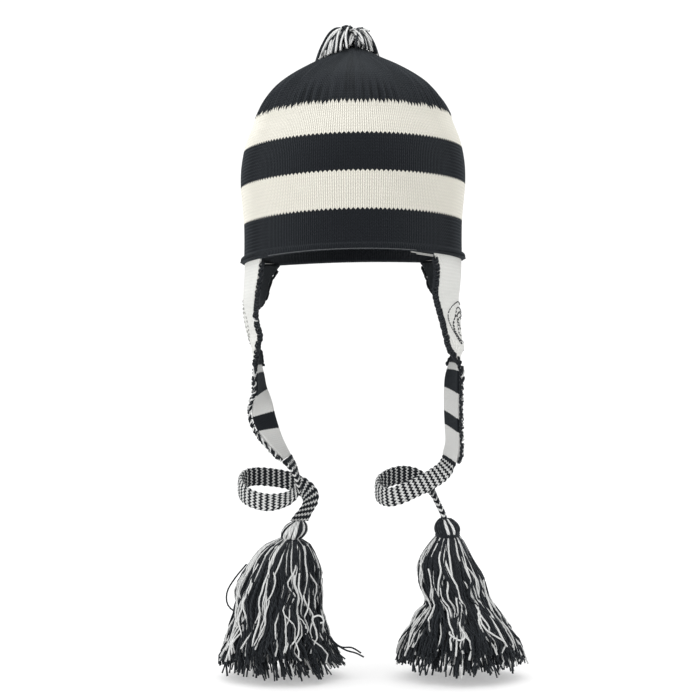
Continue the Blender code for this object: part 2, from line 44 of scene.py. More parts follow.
# The hat's forms, as in the CAD, in metres
CROWN_WIDTH, CROWN_DEPTH, CROWN_HEIGHT, CROWN_WALL = 0.1670, 0.2070, 0.1610, 0.0026
CROWN_TILT = 0.020
RIM_ROLL, RIM_FRONT_LIFT, RIM_BACK_LIFT = 0.0024, 0.0040, 0.0060
HALF_WIDTH, HALF_DEPTH = CROWN_WIDTH / 2, CROWN_DEPTH / 2
CROWN_ROWS = (  # height share, half-width share
    (0.034, 0.970), (0.100, 0.969), (0.185, 0.972), (0.266, 0.986), (0.348, 1.000), (0.435, 0.997),
    (0.519, 0.971), (0.571, 0.940), (0.615, 0.905), (0.675, 0.864), (0.745, 0.790), (0.801, 0.700),
    (0.851, 0.576), (0.898, 0.425), (0.941, 0.262), (0.975, 0.144), (0.995, 0.050), (1.000, 0.000),
)
CROWN_STRIPE_SHARES = (0.178, 0.343, 0.512, 0.660)  # cream between the first two and the last two
RIB_COUNT, RIB_HEIGHT, RIBS_FROM, RIBS_FULL = 15, 0.0009, 0.60, 0.80
TILT_FROM, TILT_NONE = 0.66, 0.92

FLAP_WIDTH, FLAP_DROP, FLAP_LAYER, FLAP_SEAT = 0.1500, 0.0776, 0.0015, 0.37
STRAP_DROP, STRAP_WIDTH, STRAP_THICKNESS = 0.0689, 0.0168, 0.0033
STRAP_SLANT, STRAP_SLANT_FULL = {"left": 0.22, "right": 0.40}, 1.35
STRAP_STRIPES = {  # where the black stripes begin and end, in shares of the strap's drop
    "left": (-0.500, -0.012, 0.070, 0.287, 0.515, 0.690),
    "right": (-0.500, -0.030, 0.040, 0.255, 0.515, 0.665),
}
EDGING_RADIUS, EDGING_START, GAP = 0.0015, 0.025, 0.0003
FLAP_TOP, FLAP_END, STRAP_TOP = -0.020, 0.958, 0.952  # shares of the flap's drop
FLAP_GAP = RIM_ROLL * 0.15 + 0.0005
OUTWARD = {"left": -1.0, "right": 1.0}
FLAP_ROWS = {  # drop (flap 0-1, strap 1-2), middle out, middle back, turn, spread, bow
    "left": (
        (0.000, 0.760, 0.050, 4.8, 0.812, 0.210), (0.181, 0.805, -0.019, 2.0, 0.655, 0.174),
        (0.338, 0.852, -0.039, -0.2, 0.535, 0.129), (0.478, 0.915, -0.014, -6.3, 0.365, 0.066),
        (0.602, 0.914, -0.029, -10.9, 0.200, 0.048), (0.718, 0.891, -0.024, -15.0, 0.090, 0.042),
        (0.825, 0.874, -0.008, 0.0, 0.024, 0.036), (0.900, 0.869, 0.000, 6.0, 0.008, 0.030),
        (0.963, 0.869, 0.000, 11.0, 0.000, 0.024), (1.102, 0.857, 0.000, 19.0, 0.000, 0.012),
        (1.270, 0.844, 0.000, 30.0, 0.000, 0.007), (1.509, 0.808, 0.000, 80.0, 0.000, 0.006),
        (1.676, 0.768, 0.000, 66.0, 0.000, 0.006), (1.820, 0.710, -0.010, 46.0, -0.012, 0.000),
        (2.000, 0.612, -0.010, 22.0, -0.030, 0.000),
    ),
    "right": (
        (0.000, 0.645, 0.014, 3.3, 0.947, 0.323), (0.173, 0.689, -0.010, 0.4, 0.790, 0.269),
        (0.272, 0.740, -0.014, -2.7, 0.692, 0.216), (0.371, 0.812, -0.019, -8.0, 0.573, 0.134),
        (0.487, 0.862, -0.029, -12.0, 0.414, 0.092), (0.602, 0.892, -0.019, -15.5, 0.252, 0.060),
        (0.726, 0.915, -0.019, -20.5, 0.114, 0.046), (0.835, 0.940, -0.014, -26.0, 0.037, 0.040),
        (0.931, 0.930, -0.005, 10.0, 0.009, 0.030), (1.030, 0.918, 0.000, 32.0, 0.000, 0.018),
        (1.162, 0.905, 0.000, 39.0, 0.000, 0.012), (1.473, 0.902, 0.000, 39.0, 0.000, 0.007),
        (1.689, 0.908, 0.000, 38.0, 0.000, 0.006), (1.856, 0.911, 0.000, 38.0, -0.006, 0.004),
        (2.000, 0.884, 0.000, 42.0, -0.014, 0.000),
    ),
}

TIE_WIDTH, TIE_THICKNESS = 0.0138, 0.0038
TIE_ROUTES = {  # offset from the strap's end, then the direction across the band
    "left": (
        (0.0000, 0.0000, 0.0000, 0.36, 0.88, 0.35), (0.0048, -0.0010, -0.0070, 0.20, 0.97, 0.20),
        (0.0080, -0.0050, -0.0150, 0.00, 1.00, 0.10), (0.0087, -0.0130, -0.0216, -0.10, 0.90, 0.45),
        (0.0016, -0.0190, -0.0284, 0.00, 0.75, 0.66), (-0.0130, -0.0230, -0.0309, 0.00, 0.55, 0.83),
        (-0.0275, -0.0170, -0.0276, 0.00, 0.30, 0.95), (-0.0343, -0.0040, -0.0222, 0.00, 0.00, 1.00),
        (-0.0330, 0.0090, -0.0170, 0.00, 0.00, 1.00), (-0.0249, 0.0160, -0.0150, 0.00, 0.00, 1.00),
        (-0.0121, 0.0180, -0.0158, 0.00, 0.00, 1.00), (0.0017, 0.0150, -0.0182, 0.00, 0.00, 1.00),
        (0.0125, 0.0100, -0.0230, 0.35, 0.00, 0.93), (0.0175, 0.0050, -0.0291, 0.80, 0.00, 0.60),
        (0.0165, 0.0020, -0.0355, 1.00, 0.00, 0.30), (0.0124, 0.0010, -0.0415, 1.00, 0.00, 0.15),
        (0.0092, 0.0010, -0.0470, 1.00, 0.00, 0.00),
    ),
    "right": (
        (0.0000, 0.0000, 0.0000, -0.62, 0.69, 0.37), (-0.0045, -0.0040, -0.0080, -0.60, 0.35, 0.70),
        (-0.0138, -0.0110, -0.0141, -0.50, 0.10, 0.86), (-0.0256, -0.0170, -0.0196, -0.42, 0.00, 0.90),
        (-0.0370, -0.0200, -0.0246, -0.30, 0.00, 0.95), (-0.0468, -0.0160, -0.0273, -0.10, 0.00, 1.00),
        (-0.0535, -0.0050, -0.0247, 0.00, 0.00, 1.00), (-0.0529, 0.0060, -0.0200, 0.00, 0.00, 1.00),
        (-0.0454, 0.0140, -0.0154, 0.00, 0.00, 1.00), (-0.0342, 0.0180, -0.0133, 0.00, 0.00, 1.00),
        (-0.0230, 0.0160, -0.0156, 0.10, 0.35, 0.93), (-0.0154, 0.0100, -0.0206, 0.20, 0.75, 0.60),
        (-0.0118, 0.0040, -0.0270, 0.10, 1.00, 0.10), (-0.0086, 0.0010, -0.0338, 0.00, 1.00, 0.00),
        (-0.0054, 0.0000, -0.0403, 0.00, 1.00, 0.00), (-0.0042, 0.0000, -0.0443, 0.00, 1.00, 0.00),
    ),
}

TASSEL_LENGTH, TASSEL_RADIUS, TASSEL_DEPTH_SHARE = 0.1100, 0.0500, 0.90
TASSEL_ROWS = {  # drop share, middle outward, radius
    "left": (
        (0.006, 0.00, 0.10), (0.055, 0.06, 0.17), (0.105, 0.12, 0.25), (0.165, 0.17, 0.34),
        (0.220, 0.21, 0.44), (0.410, 0.28, 0.61), (0.630, 0.31, 0.65), (0.790, 0.31, 0.76),
        (0.930, 0.27, 0.92), (1.000, 0.25, 1.00),
    ),
    "right": (
        (0.006, 0.02, 0.10), (0.050, 0.04, 0.18), (0.105, 0.05, 0.17), (0.135, 0.05, 0.21),
        (0.275, 0.03, 0.39), (0.390, 0.09, 0.46), (0.520, 0.17, 0.47), (0.580, 0.23, 0.49),
        (0.645, 0.23, 0.61), (0.800, 0.25, 0.82), (1.000, 0.25, 1.00),
    ),
}
FLOOR_LEVEL = -0.3118
CROWN_REACHES = [width for _, width in CROWN_ROWS[:8:-1]]
CROWN_LEVELS = [share for share, _ in CROWN_ROWS[:8:-1]]

# Knitting and yarn
WALES_ROUND, COLUMNS_A_WALE = 180, 4
WALE, COURSE = 0.0032, 0.0024
STITCH_SLANT, STRAP_STITCH_SLANT = 0.75, 0.5  # courses that a stitch's legs rise from middle to edge
STRAP_WALE = 0.0019
TIE_WALES, TIE_COURSE, TIE_SLANT, TIE_COLUMNS = 6, 0.0023, 0.82, 64
TIE_CUFF = 1.5  # courses of plain black at the top of a tie
TIE_BLACK_SHARE, TIE_INNER_BLACK_SHARE = 0.54, 0.72
KNIT_BUMP, STRAP_BUMP, TIE_BUMP, STRAND_BUMP = 0.0006, 0.0003, 0.0005, 0.0003
KNIT_GULLY_SHADE, TIE_GULLY_SHADE = 0.34, 0.35
UNPAINTED_LEVEL = 0.25  # the value of the painted shade attribute where the knitting lies open and nothing is painted
LEG_RELIEF = 0.00035
PLEAT_COUNT, PLEAT_DEPTH = 74, 0.0009
SEAM_PLACES, SEAM_SPREAD, SEAM_DEPTH = (-0.075, -0.035, 0.0), 0.016, 0.0008  # radians from the front
INSIDE_ROWS, ROLL_ROWS = 26, 12
EDGING_PITCH, EDGING_TWIST, EDGING_PLY, STRAP_PLY = 0.0062, 0.00075, 0.00078, 0.00072
EDGING_STEPS = 14  # places in one turn of the plies
SWIRL_YARN, SWIRL_LIFT = 0.00036, 0.0005
STRAND_SIDES, THICK_STRAND_SIDES, PLY_LENGTH = 5, 7, 0.004
CLUMP_COUNT, CORE_SHARE = 46, 0.76
STRAY_YARN = 0.00066
POMPOM_STRANDS, POMPOM_STEPS, POMPOM_WHITE_SHARE = 138, 20, 0.48
BLACK_YARN = (0.0068, 0.0082, 0.0108, 1.0)
CREAM_YARN = (0.80, 0.775, 0.69, 1.0)
FLAP_YARN = (0.82, 0.82, 0.785, 1.0)
# painted shade: the straps' cream, darker than the flaps' for the shade the straps hang in
STRAP_CREAM_WITH_PAINTED_SHADE = (0.66, 0.66, 0.645, 1.0)
WHITE_YARN = (0.74, 0.745, 0.735, 1.0)
# painted highlight: the grey of the thin strand along the rolled rim's front edge
PAINTED_RIM_HIGHLIGHT_YARN = (0.10, 0.105, 0.11, 1.0)
PALE_YARN = (0.42, 0.42, 0.40, 1.0)
SHADOW_YARN = (0.006, 0.006, 0.007, 1.0)


def make_camera():
    camera_data = bpy.data.cameras.new("camera")
    camera_data.sensor_width = 36.0
    camera_data.lens = CAMERA_LENS
    camera = bpy.data.objects.new("camera", camera_data)
    camera.location = CAMERA_PLACE
    camera.rotation_euler = (math.radians(90), 0, 0)
    bpy.context.scene.collection.objects.link(camera)
    bpy.context.scene.camera = camera


def unit(vectors):
    return vectors / np.maximum(np.linalg.norm(vectors, axis=-1, keepdims=True), 1e-12)


def smooth_rows(rows, keys):
    """The columns after the first at each key, on a smooth curve through the rows."""
    known = np.array([row[0] for row in rows], dtype=float)
    values = np.array([row[1:] for row in rows], dtype=float)
    keys = np.clip(np.asarray(keys, dtype=float), known[0], known[-1])
    low = np.clip(np.searchsorted(known, keys) - 1, 0, len(known) - 2)
    before = np.maximum(np.arange(len(known)) - 1, 0)
    after = np.minimum(np.arange(len(known)) + 1, len(known) - 1)
    slopes = (values[after] - values[before]) / (known[after] - known[before])[:, None]
    span = (known[low + 1] - known[low])[..., None]
    t = (keys - known[low])[..., None] / span
    start = (2 * t**3 - 3 * t**2 + 1) * values[low] + (t**3 - 2 * t**2 + t) * span * slopes[low]
    end = (3 * t**2 - 2 * t**3) * values[low + 1] + (t**3 - t**2) * span * slopes[low + 1]
    return start + end


def route_through(points, count):
    """A smooth route of this many places through the points."""
    return smooth_rows([(index, *point) for index, point in enumerate(points)],
                       np.linspace(0, len(points) - 1, count))


def run_along(places):
    """The length of the route up to each of its places."""
    return np.concatenate(([0.0], np.cumsum(np.linalg.norm(np.diff(places, axis=0), axis=1))))


def ease(low, high, value):
    t = np.clip((value - low) / (high - low), 0.0, 1.0)
    return t * t * (3 - 2 * t)


def rim_lift(y, share):
    """How far the knitting stands above the level of the rim's sides."""
    lift = np.where(y < 0, RIM_FRONT_LIFT, RIM_BACK_LIFT)
    return lift * (y / HALF_DEPTH) ** 2 * np.maximum(1 - share, 0.0) ** 1.5


def side_points(side, down, across):
    """Points of the outer surface of a flap and its strap, from the front edge (0) to the rear edge (1)."""
    down, across = np.broadcast_arrays(np.asarray(down, dtype=float), np.asarray(across, dtype=float))
    out, back, turn, spread, bow = np.moveaxis(smooth_rows(FLAP_ROWS[side], down), -1, 0)
    chord = STRAP_WIDTH + spread * (FLAP_WIDTH - STRAP_WIDTH)
    along = (across - 0.5) * chord
    reach = HALF_WIDTH * (out + bow * 4 * across * (1 - across)) - along * np.sin(np.radians(turn))
    y = HALF_DEPTH * back + along * np.cos(np.radians(turn))
    wall = CROWN_ROWS[0][1]
    oval = HALF_WIDTH * wall * np.sqrt(np.maximum(1 - (y / (HALF_DEPTH * wall)) ** 2, 0.0))
    reach = reach + (oval - reach) * (1 - ease(0.0, FLAP_SEAT, down))
    x = OUTWARD[side] * reach
    slant = STRAP_SLANT[side] * ease(1.0, STRAP_SLANT_FULL, down) * along
    tilt = CROWN_TILT * x * (1 - ease(0.0, 1.0, down))
    level = -FLAP_DROP * np.minimum(down, 1.0) - STRAP_DROP * np.maximum(down - 1.0, 0.0)
    z = level - FLAP_GAP + slant + tilt + rim_lift(y, np.minimum(down, 1.0))
    return np.stack((x, y, z), axis=-1)


def side_frames(side, down, across):
    """Points, the directions towards the rear edge and the outward normals."""
    step = 0.01
    down = np.asarray(down, dtype=float)
    across = np.asarray(across, dtype=float)
    rearward = unit(side_points(side, down, across + step) - side_points(side, down, across - step))
    above = side_points(side, np.maximum(down - step, 0.0), across)
    below = side_points(side, np.minimum(down + step, 2.0), across)
    normals = unit(np.cross(rearward, below - above)) * -OUTWARD[side]
    return side_points(side, down, across), rearward, normals


def tie_frames(side, count):
    """The places along a tie's middle, the directions across it and its normals."""
    end, rearward, outward = side_frames(side, 2.0, 0.5)
    downward = unit(np.cross(rearward, outward))
    downward = downward if downward[2] < 0 else -downward
    start = end - outward * STRAP_THICKNESS / 2 + downward * 2 * GAP
    values = route_through(TIE_ROUTES[side], count)
    places = start + values[:, :3]
    across = unit(values[:, 3:])
    across[0] = unit(rearward)
    along = unit(np.gradient(places, axis=0))
    normals = unit(np.cross(along, across))
    return places, across, normals


def route_length(places):
    return float(np.linalg.norm(np.diff(places, axis=0), axis=1).sum())


def cloth_mesh(name, points, quads, triangles, quad_uv, triangle_uv, materials, face_slots=None):
    """A smooth-shaded mesh object from arrays.
    Its map gives wales and courses, or turns and lengths of yarn."""
    mesh = bpy.data.meshes.new(name)
    faces = np.concatenate((quads.ravel(), triangles.ravel())).astype(np.int32)
    starts = np.concatenate((np.arange(len(quads)) * 4, len(quads) * 4 + np.arange(len(triangles)) * 3))
    mesh.vertices.add(len(points))
    mesh.vertices.foreach_set("co", np.ascontiguousarray(points, dtype=np.float32).ravel())
    mesh.loops.add(len(faces))
    mesh.loops.foreach_set("vertex_index", faces)
    mesh.polygons.add(len(starts))
    mesh.polygons.foreach_set("loop_start", starts.astype(np.int32))
    mesh.update(calc_edges=True)
    layer = mesh.uv_layers.new(name="stitches")
    corners = np.concatenate((quad_uv.reshape(-1, 2), triangle_uv.reshape(-1, 2))).astype(np.float32)
    layer.data.foreach_set("uv", corners.ravel())
    for material in materials:
        mesh.materials.append(material)
    if face_slots is not None:
        mesh.polygons.foreach_set("material_index", face_slots.astype(np.int32))
    mesh.shade_smooth()
    mesh.validate()
    piece = bpy.data.objects.new(name, mesh)
    bpy.context.scene.collection.objects.link(piece)
    return piece


def ring_mesh(name, rings, uv, materials, flip=False, column_slots=None):
    """A closed body through rings of points, with fans over both ends.
    uv has one more column than the rings."""
    rows, columns = rings.shape[:2]
    points = np.concatenate((rings.reshape(-1, 3), rings[:1].mean(axis=1), rings[-1:].mean(axis=1)))
    r, c = np.meshgrid(np.arange(rows - 1), np.arange(columns), indexing="ij")
    d = (c + 1) % columns
    low, high = r * columns, (r + 1) * columns
    quads = np.stack((low + c, low + d, high + d, high + c), axis=-1)
    quad_uv = np.stack((uv[r, c], uv[r, c + 1], uv[r + 1, c + 1], uv[r + 1, c]), axis=-2)
    quads, quad_uv = quads.reshape(-1, 4), quad_uv.reshape(-1, 4, 2)
    k = np.arange(columns)
    first, last = rows * columns, rows * columns + 1
    base = (rows - 1) * columns
    low = np.stack((np.full(columns, first), (k + 1) % columns, k), axis=-1)
    high = np.stack((np.full(columns, last), base + k, base + (k + 1) % columns), axis=-1)
    triangles = np.concatenate((low, high))
    low_uv = np.stack((uv[0, k], uv[0, k + 1], uv[0, k]), axis=-2)
    high_uv = np.stack((uv[-1, k], uv[-1, k], uv[-1, k + 1]), axis=-2)
    triangle_uv = np.concatenate((low_uv, high_uv))
    if flip:
        quads, quad_uv = quads[:, ::-1], quad_uv[:, ::-1]
        triangles, triangle_uv = triangles[:, ::-1], triangle_uv[:, ::-1]
    slots = None
    if column_slots is not None:
        slots = np.concatenate((np.tile(column_slots, rows - 1), np.zeros(len(triangles))))
    return cloth_mesh(name, points, quads, triangles, quad_uv, triangle_uv, materials, slots)


def strand_arrays(routes, radii, sides, turn=0.0):
    """Round strands along routes (strands, steps, 3): their points, quads, triangles and maps."""
    count, steps = routes.shape[:2]
    radii = np.broadcast_to(radii, (count, steps))
    along = unit(np.gradient(routes, axis=1))
    lateral = np.zeros((count, steps, 3))
    guess = np.where(np.abs(along[:, 0, 2:3]) < 0.9, (0.0, 0.0, 1.0), (1.0, 0.0, 0.0))
    for step in range(steps):
        guess = guess - along[:, step] * (guess * along[:, step]).sum(axis=1, keepdims=True)
        guess = unit(guess)
        lateral[:, step] = guess
    other = np.cross(along, lateral)
    angle = 2 * np.pi * np.arange(sides) / sides + turn
    spokes = lateral[:, :, None] * np.cos(angle)[:, None] + other[:, :, None] * np.sin(angle)[:, None]
    points = routes[:, :, None] + spokes * radii[:, :, None, None]
    length = np.zeros((count, steps))
    length[:, 1:] = np.cumsum(np.linalg.norm(np.diff(routes, axis=1), axis=2), axis=1)
    block = steps * sides
    n, r, c = np.meshgrid(np.arange(count), np.arange(steps - 1), np.arange(sides), indexing="ij")
    d = (c + 1) % sides
    base = n * block
    quads = np.stack((base + r * sides + c, base + r * sides + d, base + (r + 1) * sides + d,
                      base + (r + 1) * sides + c), axis=-1)
    low, high = length[n, r] / PLY_LENGTH, length[n, r + 1] / PLY_LENGTH
    left, right = c / sides, (c + 1) / sides
    quad_uv = np.stack((np.stack((left, low), -1), np.stack((right, low), -1), np.stack((right, high), -1),
                        np.stack((left, high), -1)), axis=-2)
    points = points.reshape(-1, 3)
    total = len(points)
    ends = np.concatenate((routes[:, 0], routes[:, -1]))
    n, c = np.meshgrid(np.arange(count), np.arange(sides), indexing="ij")
    d = (c + 1) % sides
    top = np.stack((total + n, n * block + d, n * block + c), axis=-1)
    last = n * block + (steps - 1) * sides
    bottom = np.stack((total + count + n, last + c, last + d), axis=-1)
    triangles = np.concatenate((top.reshape(-1, 3), bottom.reshape(-1, 3)))
    return np.concatenate((points, ends)), quads.reshape(-1, 4), triangles, quad_uv.reshape(-1, 4, 2)


def strand_piece(name, bundles, materials, sides=STRAND_SIDES):
    """One mesh of strands. Each bundle is (routes, radii, index of its material)."""
    points, quads, triangles, quad_uv, quad_slots, triangle_slots = [], [], [], [], [], []
    shift = 0
    for routes, radii, slot in bundles:
        p, q, t, uv = strand_arrays(np.asarray(routes, dtype=float), radii, sides)
        points.append(p)
        quads.append(q + shift)
        triangles.append(t + shift)
        quad_uv.append(uv)
        quad_slots.append(np.full(len(q), slot))
        triangle_slots.append(np.full(len(t), slot))
        shift += len(p)
    triangles = np.concatenate(triangles)
    slots = np.concatenate(quad_slots + triangle_slots)
    return cloth_mesh(name, np.concatenate(points), np.concatenate(quads), triangles,
                      np.concatenate(quad_uv), np.zeros((len(triangles), 3, 2)), materials, slots)


# Node helpers


def math_node(tree, operation, *values, clamp=False):
    """A Math node whose inputs are numbers or sockets."""
    node = tree.nodes.new("ShaderNodeMath")
    node.operation = operation
    node.use_clamp = clamp
    for socket, value in zip(node.inputs, values):
        if isinstance(value, (int, float)):
            socket.default_value = value
        else:
            tree.links.new(value, socket)
    return node.outputs[0]


def centred(tree, value):
    """-1 to 1 from a value of 0 to 1."""
    return math_node(tree, "SUBTRACT", math_node(tree, "MULTIPLY", value, 2.0), 1.0)


def rounded(tree, value):
    """1 in the middle of a centred value and 0 at both its ends, round as a strand of yarn is."""
    return math_node(tree, "SUBTRACT", 1.0, math_node(tree, "MULTIPLY", value, value))


def noise_around_zero(tree, place, scale, detail):
    node = tree.nodes.new("ShaderNodeTexNoise")
    node.inputs["Scale"].default_value = scale
    node.inputs["Detail"].default_value = detail
    tree.links.new(place, node.inputs["Vector"])
    return math_node(tree, "SUBTRACT", node.outputs[0], 0.5)


def scaled_colour(tree, colour, level):
    node = tree.nodes.new("ShaderNodeVectorMath")
    node.operation = "SCALE"
    tree.links.new(colour, node.inputs[0])
    tree.links.new(level, node.inputs["Scale"])
    return node.outputs[0]


def colour_mix(tree, factor, first, second):
    node = tree.nodes.new("ShaderNodeMix")
    node.data_type = "RGBA"
    for socket, value in ((node.inputs[0], factor), (node.inputs[6], first), (node.inputs[7], second)):
        if isinstance(value, (int, float, tuple)):
            socket.default_value = value
        else:
            tree.links.new(value, socket)
    return node.outputs[2]


def new_group(name, inputs, outputs):
    """An empty shader group with these named sockets."""
    tree = bpy.data.node_groups.new(name, "ShaderNodeTree")
    for label, kind, value in inputs:
        socket = tree.interface.new_socket(name=label, in_out="INPUT", socket_type=kind)
        if value is not None:
            socket.default_value = value
    for label, kind in outputs:
        tree.interface.new_socket(name=label, in_out="OUTPUT", socket_type=kind)
    entry = tree.nodes.new("NodeGroupInput")
    leave = tree.nodes.new("NodeGroupOutput")
    return tree, entry, leave


def knit_stitches_group():
    """Stockinette from a map in wales and courses: the height of the yarn, the course that each
    point belongs to in plain and in gathered knitting, and the gullies between the legs."""
    tree, entry, leave = new_group(
        "knit stitches",
        (("Map", "NodeSocketVector", None), ("Slant", "NodeSocketFloat", STITCH_SLANT)),
        [(label, "NodeSocketFloat") for label in ("Height", "Course", "Ragged", "Gully")],
    )
    parts = tree.nodes.new("ShaderNodeSeparateXYZ")
    tree.links.new(entry.outputs["Map"], parts.inputs[0])
    wale = math_node(tree, "FRACT", parts.outputs[0])
    aside = math_node(tree, "ABSOLUTE", centred(tree, wale))
    rise = math_node(tree, "MULTIPLY", math_node(tree, "SUBTRACT", aside, 0.5), entry.outputs["Slant"])
    course = math_node(tree, "SUBTRACT", parts.outputs[1], rise)
    leg = rounded(tree, centred(tree, aside))
    bead = rounded(tree, centred(tree, math_node(tree, "FRACT", course)))
    bead = math_node(tree, "ADD", math_node(tree, "MULTIPLY", bead, 0.45), 0.55)
    height = math_node(tree, "MULTIPLY", math_node(tree, "POWER", leg, 0.7), bead)
    tree.links.new(height, leave.inputs["Height"])
    tree.links.new(course, leave.inputs["Course"])
    jitter = tree.nodes.new("ShaderNodeTexWhiteNoise")
    jitter.noise_dimensions = "1D"
    tree.links.new(math_node(tree, "FLOOR", parts.outputs[0]), jitter.inputs["W"])
    uneven = math_node(tree, "MULTIPLY", math_node(tree, "SUBTRACT", jitter.outputs["Value"], 0.5), 0.8)
    pointed = math_node(tree, "SUBTRACT", course, math_node(tree, "MULTIPLY", rise, 1.1))
    tree.links.new(math_node(tree, "ADD", pointed, uneven), leave.inputs["Ragged"])
    tree.links.new(math_node(tree, "SUBTRACT", 1.0, height), leave.inputs["Gully"])
    return tree


def yarn_colour_group():
    """Yarn colour with soft patches and fine flecks."""
    tree, entry, leave = new_group(
        "yarn colour",
        (("Yarn", "NodeSocketColor", CREAM_YARN), ("Place", "NodeSocketVector", None),
         ("Patches", "NodeSocketFloat", 0.08), ("Flecks", "NodeSocketFloat", 0.10)),
        (("Color", "NodeSocketColor"),),
    )
    place = entry.outputs["Place"]
    broad = math_node(tree, "MULTIPLY", noise_around_zero(tree, place, 26.0, 3.0), entry.outputs["Patches"])
    fine = math_node(tree, "MULTIPLY", noise_around_zero(tree, place, 900.0, 2.0), entry.outputs["Flecks"])
    level = math_node(tree, "ADD", math_node(tree, "ADD", broad, fine), 1.0)
    tree.links.new(scaled_colour(tree, entry.outputs["Yarn"], level), leave.inputs["Color"])
    return tree


def group_node(tree, group, **values):
    node = tree.nodes.new("ShaderNodeGroup")
    node.node_tree = group
    for label, value in values.items():
        if isinstance(value, (int, float, tuple)):
            node.inputs[label].default_value = value
        else:
            tree.links.new(value, node.inputs[label])
    return node


def yarn_node(tree, yarn, **values):
    """The colour of this yarn over the piece, from its Object coordinates."""
    place = tree.nodes.new("ShaderNodeTexCoord").outputs["Object"]
    return group_node(tree, GROUPS["yarn"], Yarn=yarn, Place=place, **values).outputs[0]


def stitches_map(tree):
    node = tree.nodes.new("ShaderNodeUVMap")
    node.uv_map = "stitches"
    return node.outputs[0]


def cloth_shader(tree, colour, height, distance, roughness=0.9, sheen=0.09):
    """Finishes a cloth or yarn material: its colour, its bump and a soft sheen of fibres."""
    shader = tree.nodes["Principled BSDF"]
    bump = tree.nodes.new("ShaderNodeBump")
    bump.inputs["Distance"].default_value = distance
    bump.inputs["Strength"].default_value = 1.0
    tree.links.new(height, bump.inputs["Height"])
    tree.links.new(colour, shader.inputs["Base Color"])
    tree.links.new(bump.outputs[0], shader.inputs["Normal"])
    shader.inputs["Roughness"].default_value = roughness
    shader.inputs["Specular IOR Level"].default_value = 0.12
    shader.inputs["Sheen Weight"].default_value = sheen
    shader.inputs["Sheen Roughness"].default_value = 0.6
    shader.inputs["Sheen Tint"].default_value = (0.82, 0.92, 1.0, 1.0)
    return shader


def new_material(name):
    material = bpy.data.materials.new(name)
    material.use_nodes = True
    return material, material.node_tree


def stripe_mask(tree, stitches, edges, gathered):
    """1 in the stripes between the first and second edges, the third and fourth, and so on."""
    mask = None
    for index, edge in enumerate(edges):
        ragged = gathered and index == len(edges) - 1
        past = math_node(tree, "GREATER_THAN", stitches.outputs["Ragged" if ragged else "Course"], edge)
        if mask is None:
            mask = past
        else:
            mask = math_node(tree, "ADD" if index % 2 == 0 else "SUBTRACT", mask, past)
    return mask


def gully_shade(tree, stitches, depth):
    """Less light between the legs of the stitches."""
    return math_node(tree, "SUBTRACT", 1.0, math_node(tree, "MULTIPLY", stitches.outputs["Gully"], depth))


def knit_material(name, edges=(), below=BLACK_YARN, above=CREAM_YARN, slant=STITCH_SLANT, bump=KNIT_BUMP,
                  gathered=False):
    """Knitted cloth, with stripes of the second yarn between the pairs of course edges."""
    material, tree = new_material(name)
    stitches = group_node(tree, GROUPS["stitches"], Map=stitches_map(tree), Slant=slant)
    colour = yarn_node(tree, below)
    if edges:
        mask = stripe_mask(tree, stitches, edges, gathered)
        colour = colour_mix(tree, mask, colour, yarn_node(tree, above))
    shade = gully_shade(tree, stitches, KNIT_GULLY_SHADE)
    if gathered:
        # Painted shade in the crown's pleats, seams and hollows between ribs, and painted light on its top,
        # read from a point attribute.
        painted_fold_shade_and_top_light = tree.nodes.new("ShaderNodeAttribute")
        painted_fold_shade_and_top_light.attribute_name = "painted_fold_shade_and_top_light"
        light = math_node(tree, "SUBTRACT", 1 + UNPAINTED_LEVEL, painted_fold_shade_and_top_light.outputs["Fac"])
        shade = math_node(tree, "MULTIPLY", shade, light)
    cloth_shader(tree, scaled_colour(tree, colour, shade), stitches.outputs["Height"], bump)
    return material


def strap_material(side):
    course = COURSE * STRAP_WALE / WALE
    edges = sorted(-(FLAP_DROP + STRAP_DROP * share) / course for share in STRAP_STRIPES[side])
    # the cream of the strap carries painted shade
    return knit_material(f"striped knit of the {side} strap", edges, STRAP_CREAM_WITH_PAINTED_SHADE, BLACK_YARN,
                         STRAP_STITCH_SLANT, STRAP_BUMP)


def band_material(name, black_share):
    """The ties' marled knitting: courses of black and of white in turn, below a first row of black."""
    material, tree = new_material(name)
    stitches = group_node(tree, GROUPS["stitches"], Map=stitches_map(tree), Slant=TIE_SLANT)
    course = stitches.outputs["Course"]
    half = math_node(tree, "FRACT", math_node(tree, "MULTIPLY", course, 0.5))
    white = math_node(tree, "GREATER_THAN", half, black_share)
    mask = math_node(tree, "MULTIPLY", white, math_node(tree, "GREATER_THAN", course, TIE_CUFF))
    colour = colour_mix(tree, mask, yarn_node(tree, BLACK_YARN), yarn_node(tree, WHITE_YARN))
    shade = gully_shade(tree, stitches, TIE_GULLY_SHADE)
    cloth_shader(tree, scaled_colour(tree, colour, shade), stitches.outputs["Height"], TIE_BUMP)
    return material


def black_and_white():
    return [MATERIALS["black strand"], MATERIALS["white strand"]]


def strand_material(name, yarn, flecks=0.25):
    """Loose yarn of twisted plies."""
    material, tree = new_material(name)
    parts = tree.nodes.new("ShaderNodeSeparateXYZ")
    tree.links.new(stitches_map(tree), parts.inputs[0])
    turn = math_node(tree, "ADD", math_node(tree, "MULTIPLY", parts.outputs[0], 3.0), parts.outputs[1])
    ply = rounded(tree, centred(tree, math_node(tree, "FRACT", turn)))
    shade = math_node(tree, "ADD", math_node(tree, "MULTIPLY", ply, 0.35), 0.65)
    colour = scaled_colour(tree, yarn_node(tree, yarn, Flecks=flecks), shade)
    cloth_shader(tree, colour, ply, STRAND_BUMP, roughness=0.6, sheen=0.12)
    return material


# Pieces


def finish_piece(piece, slot, *nodes):
    """Puts a finished piece in place of its CAD nodes."""
    if nodes:
        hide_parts(*nodes)
    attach(piece, "root")
    return piece


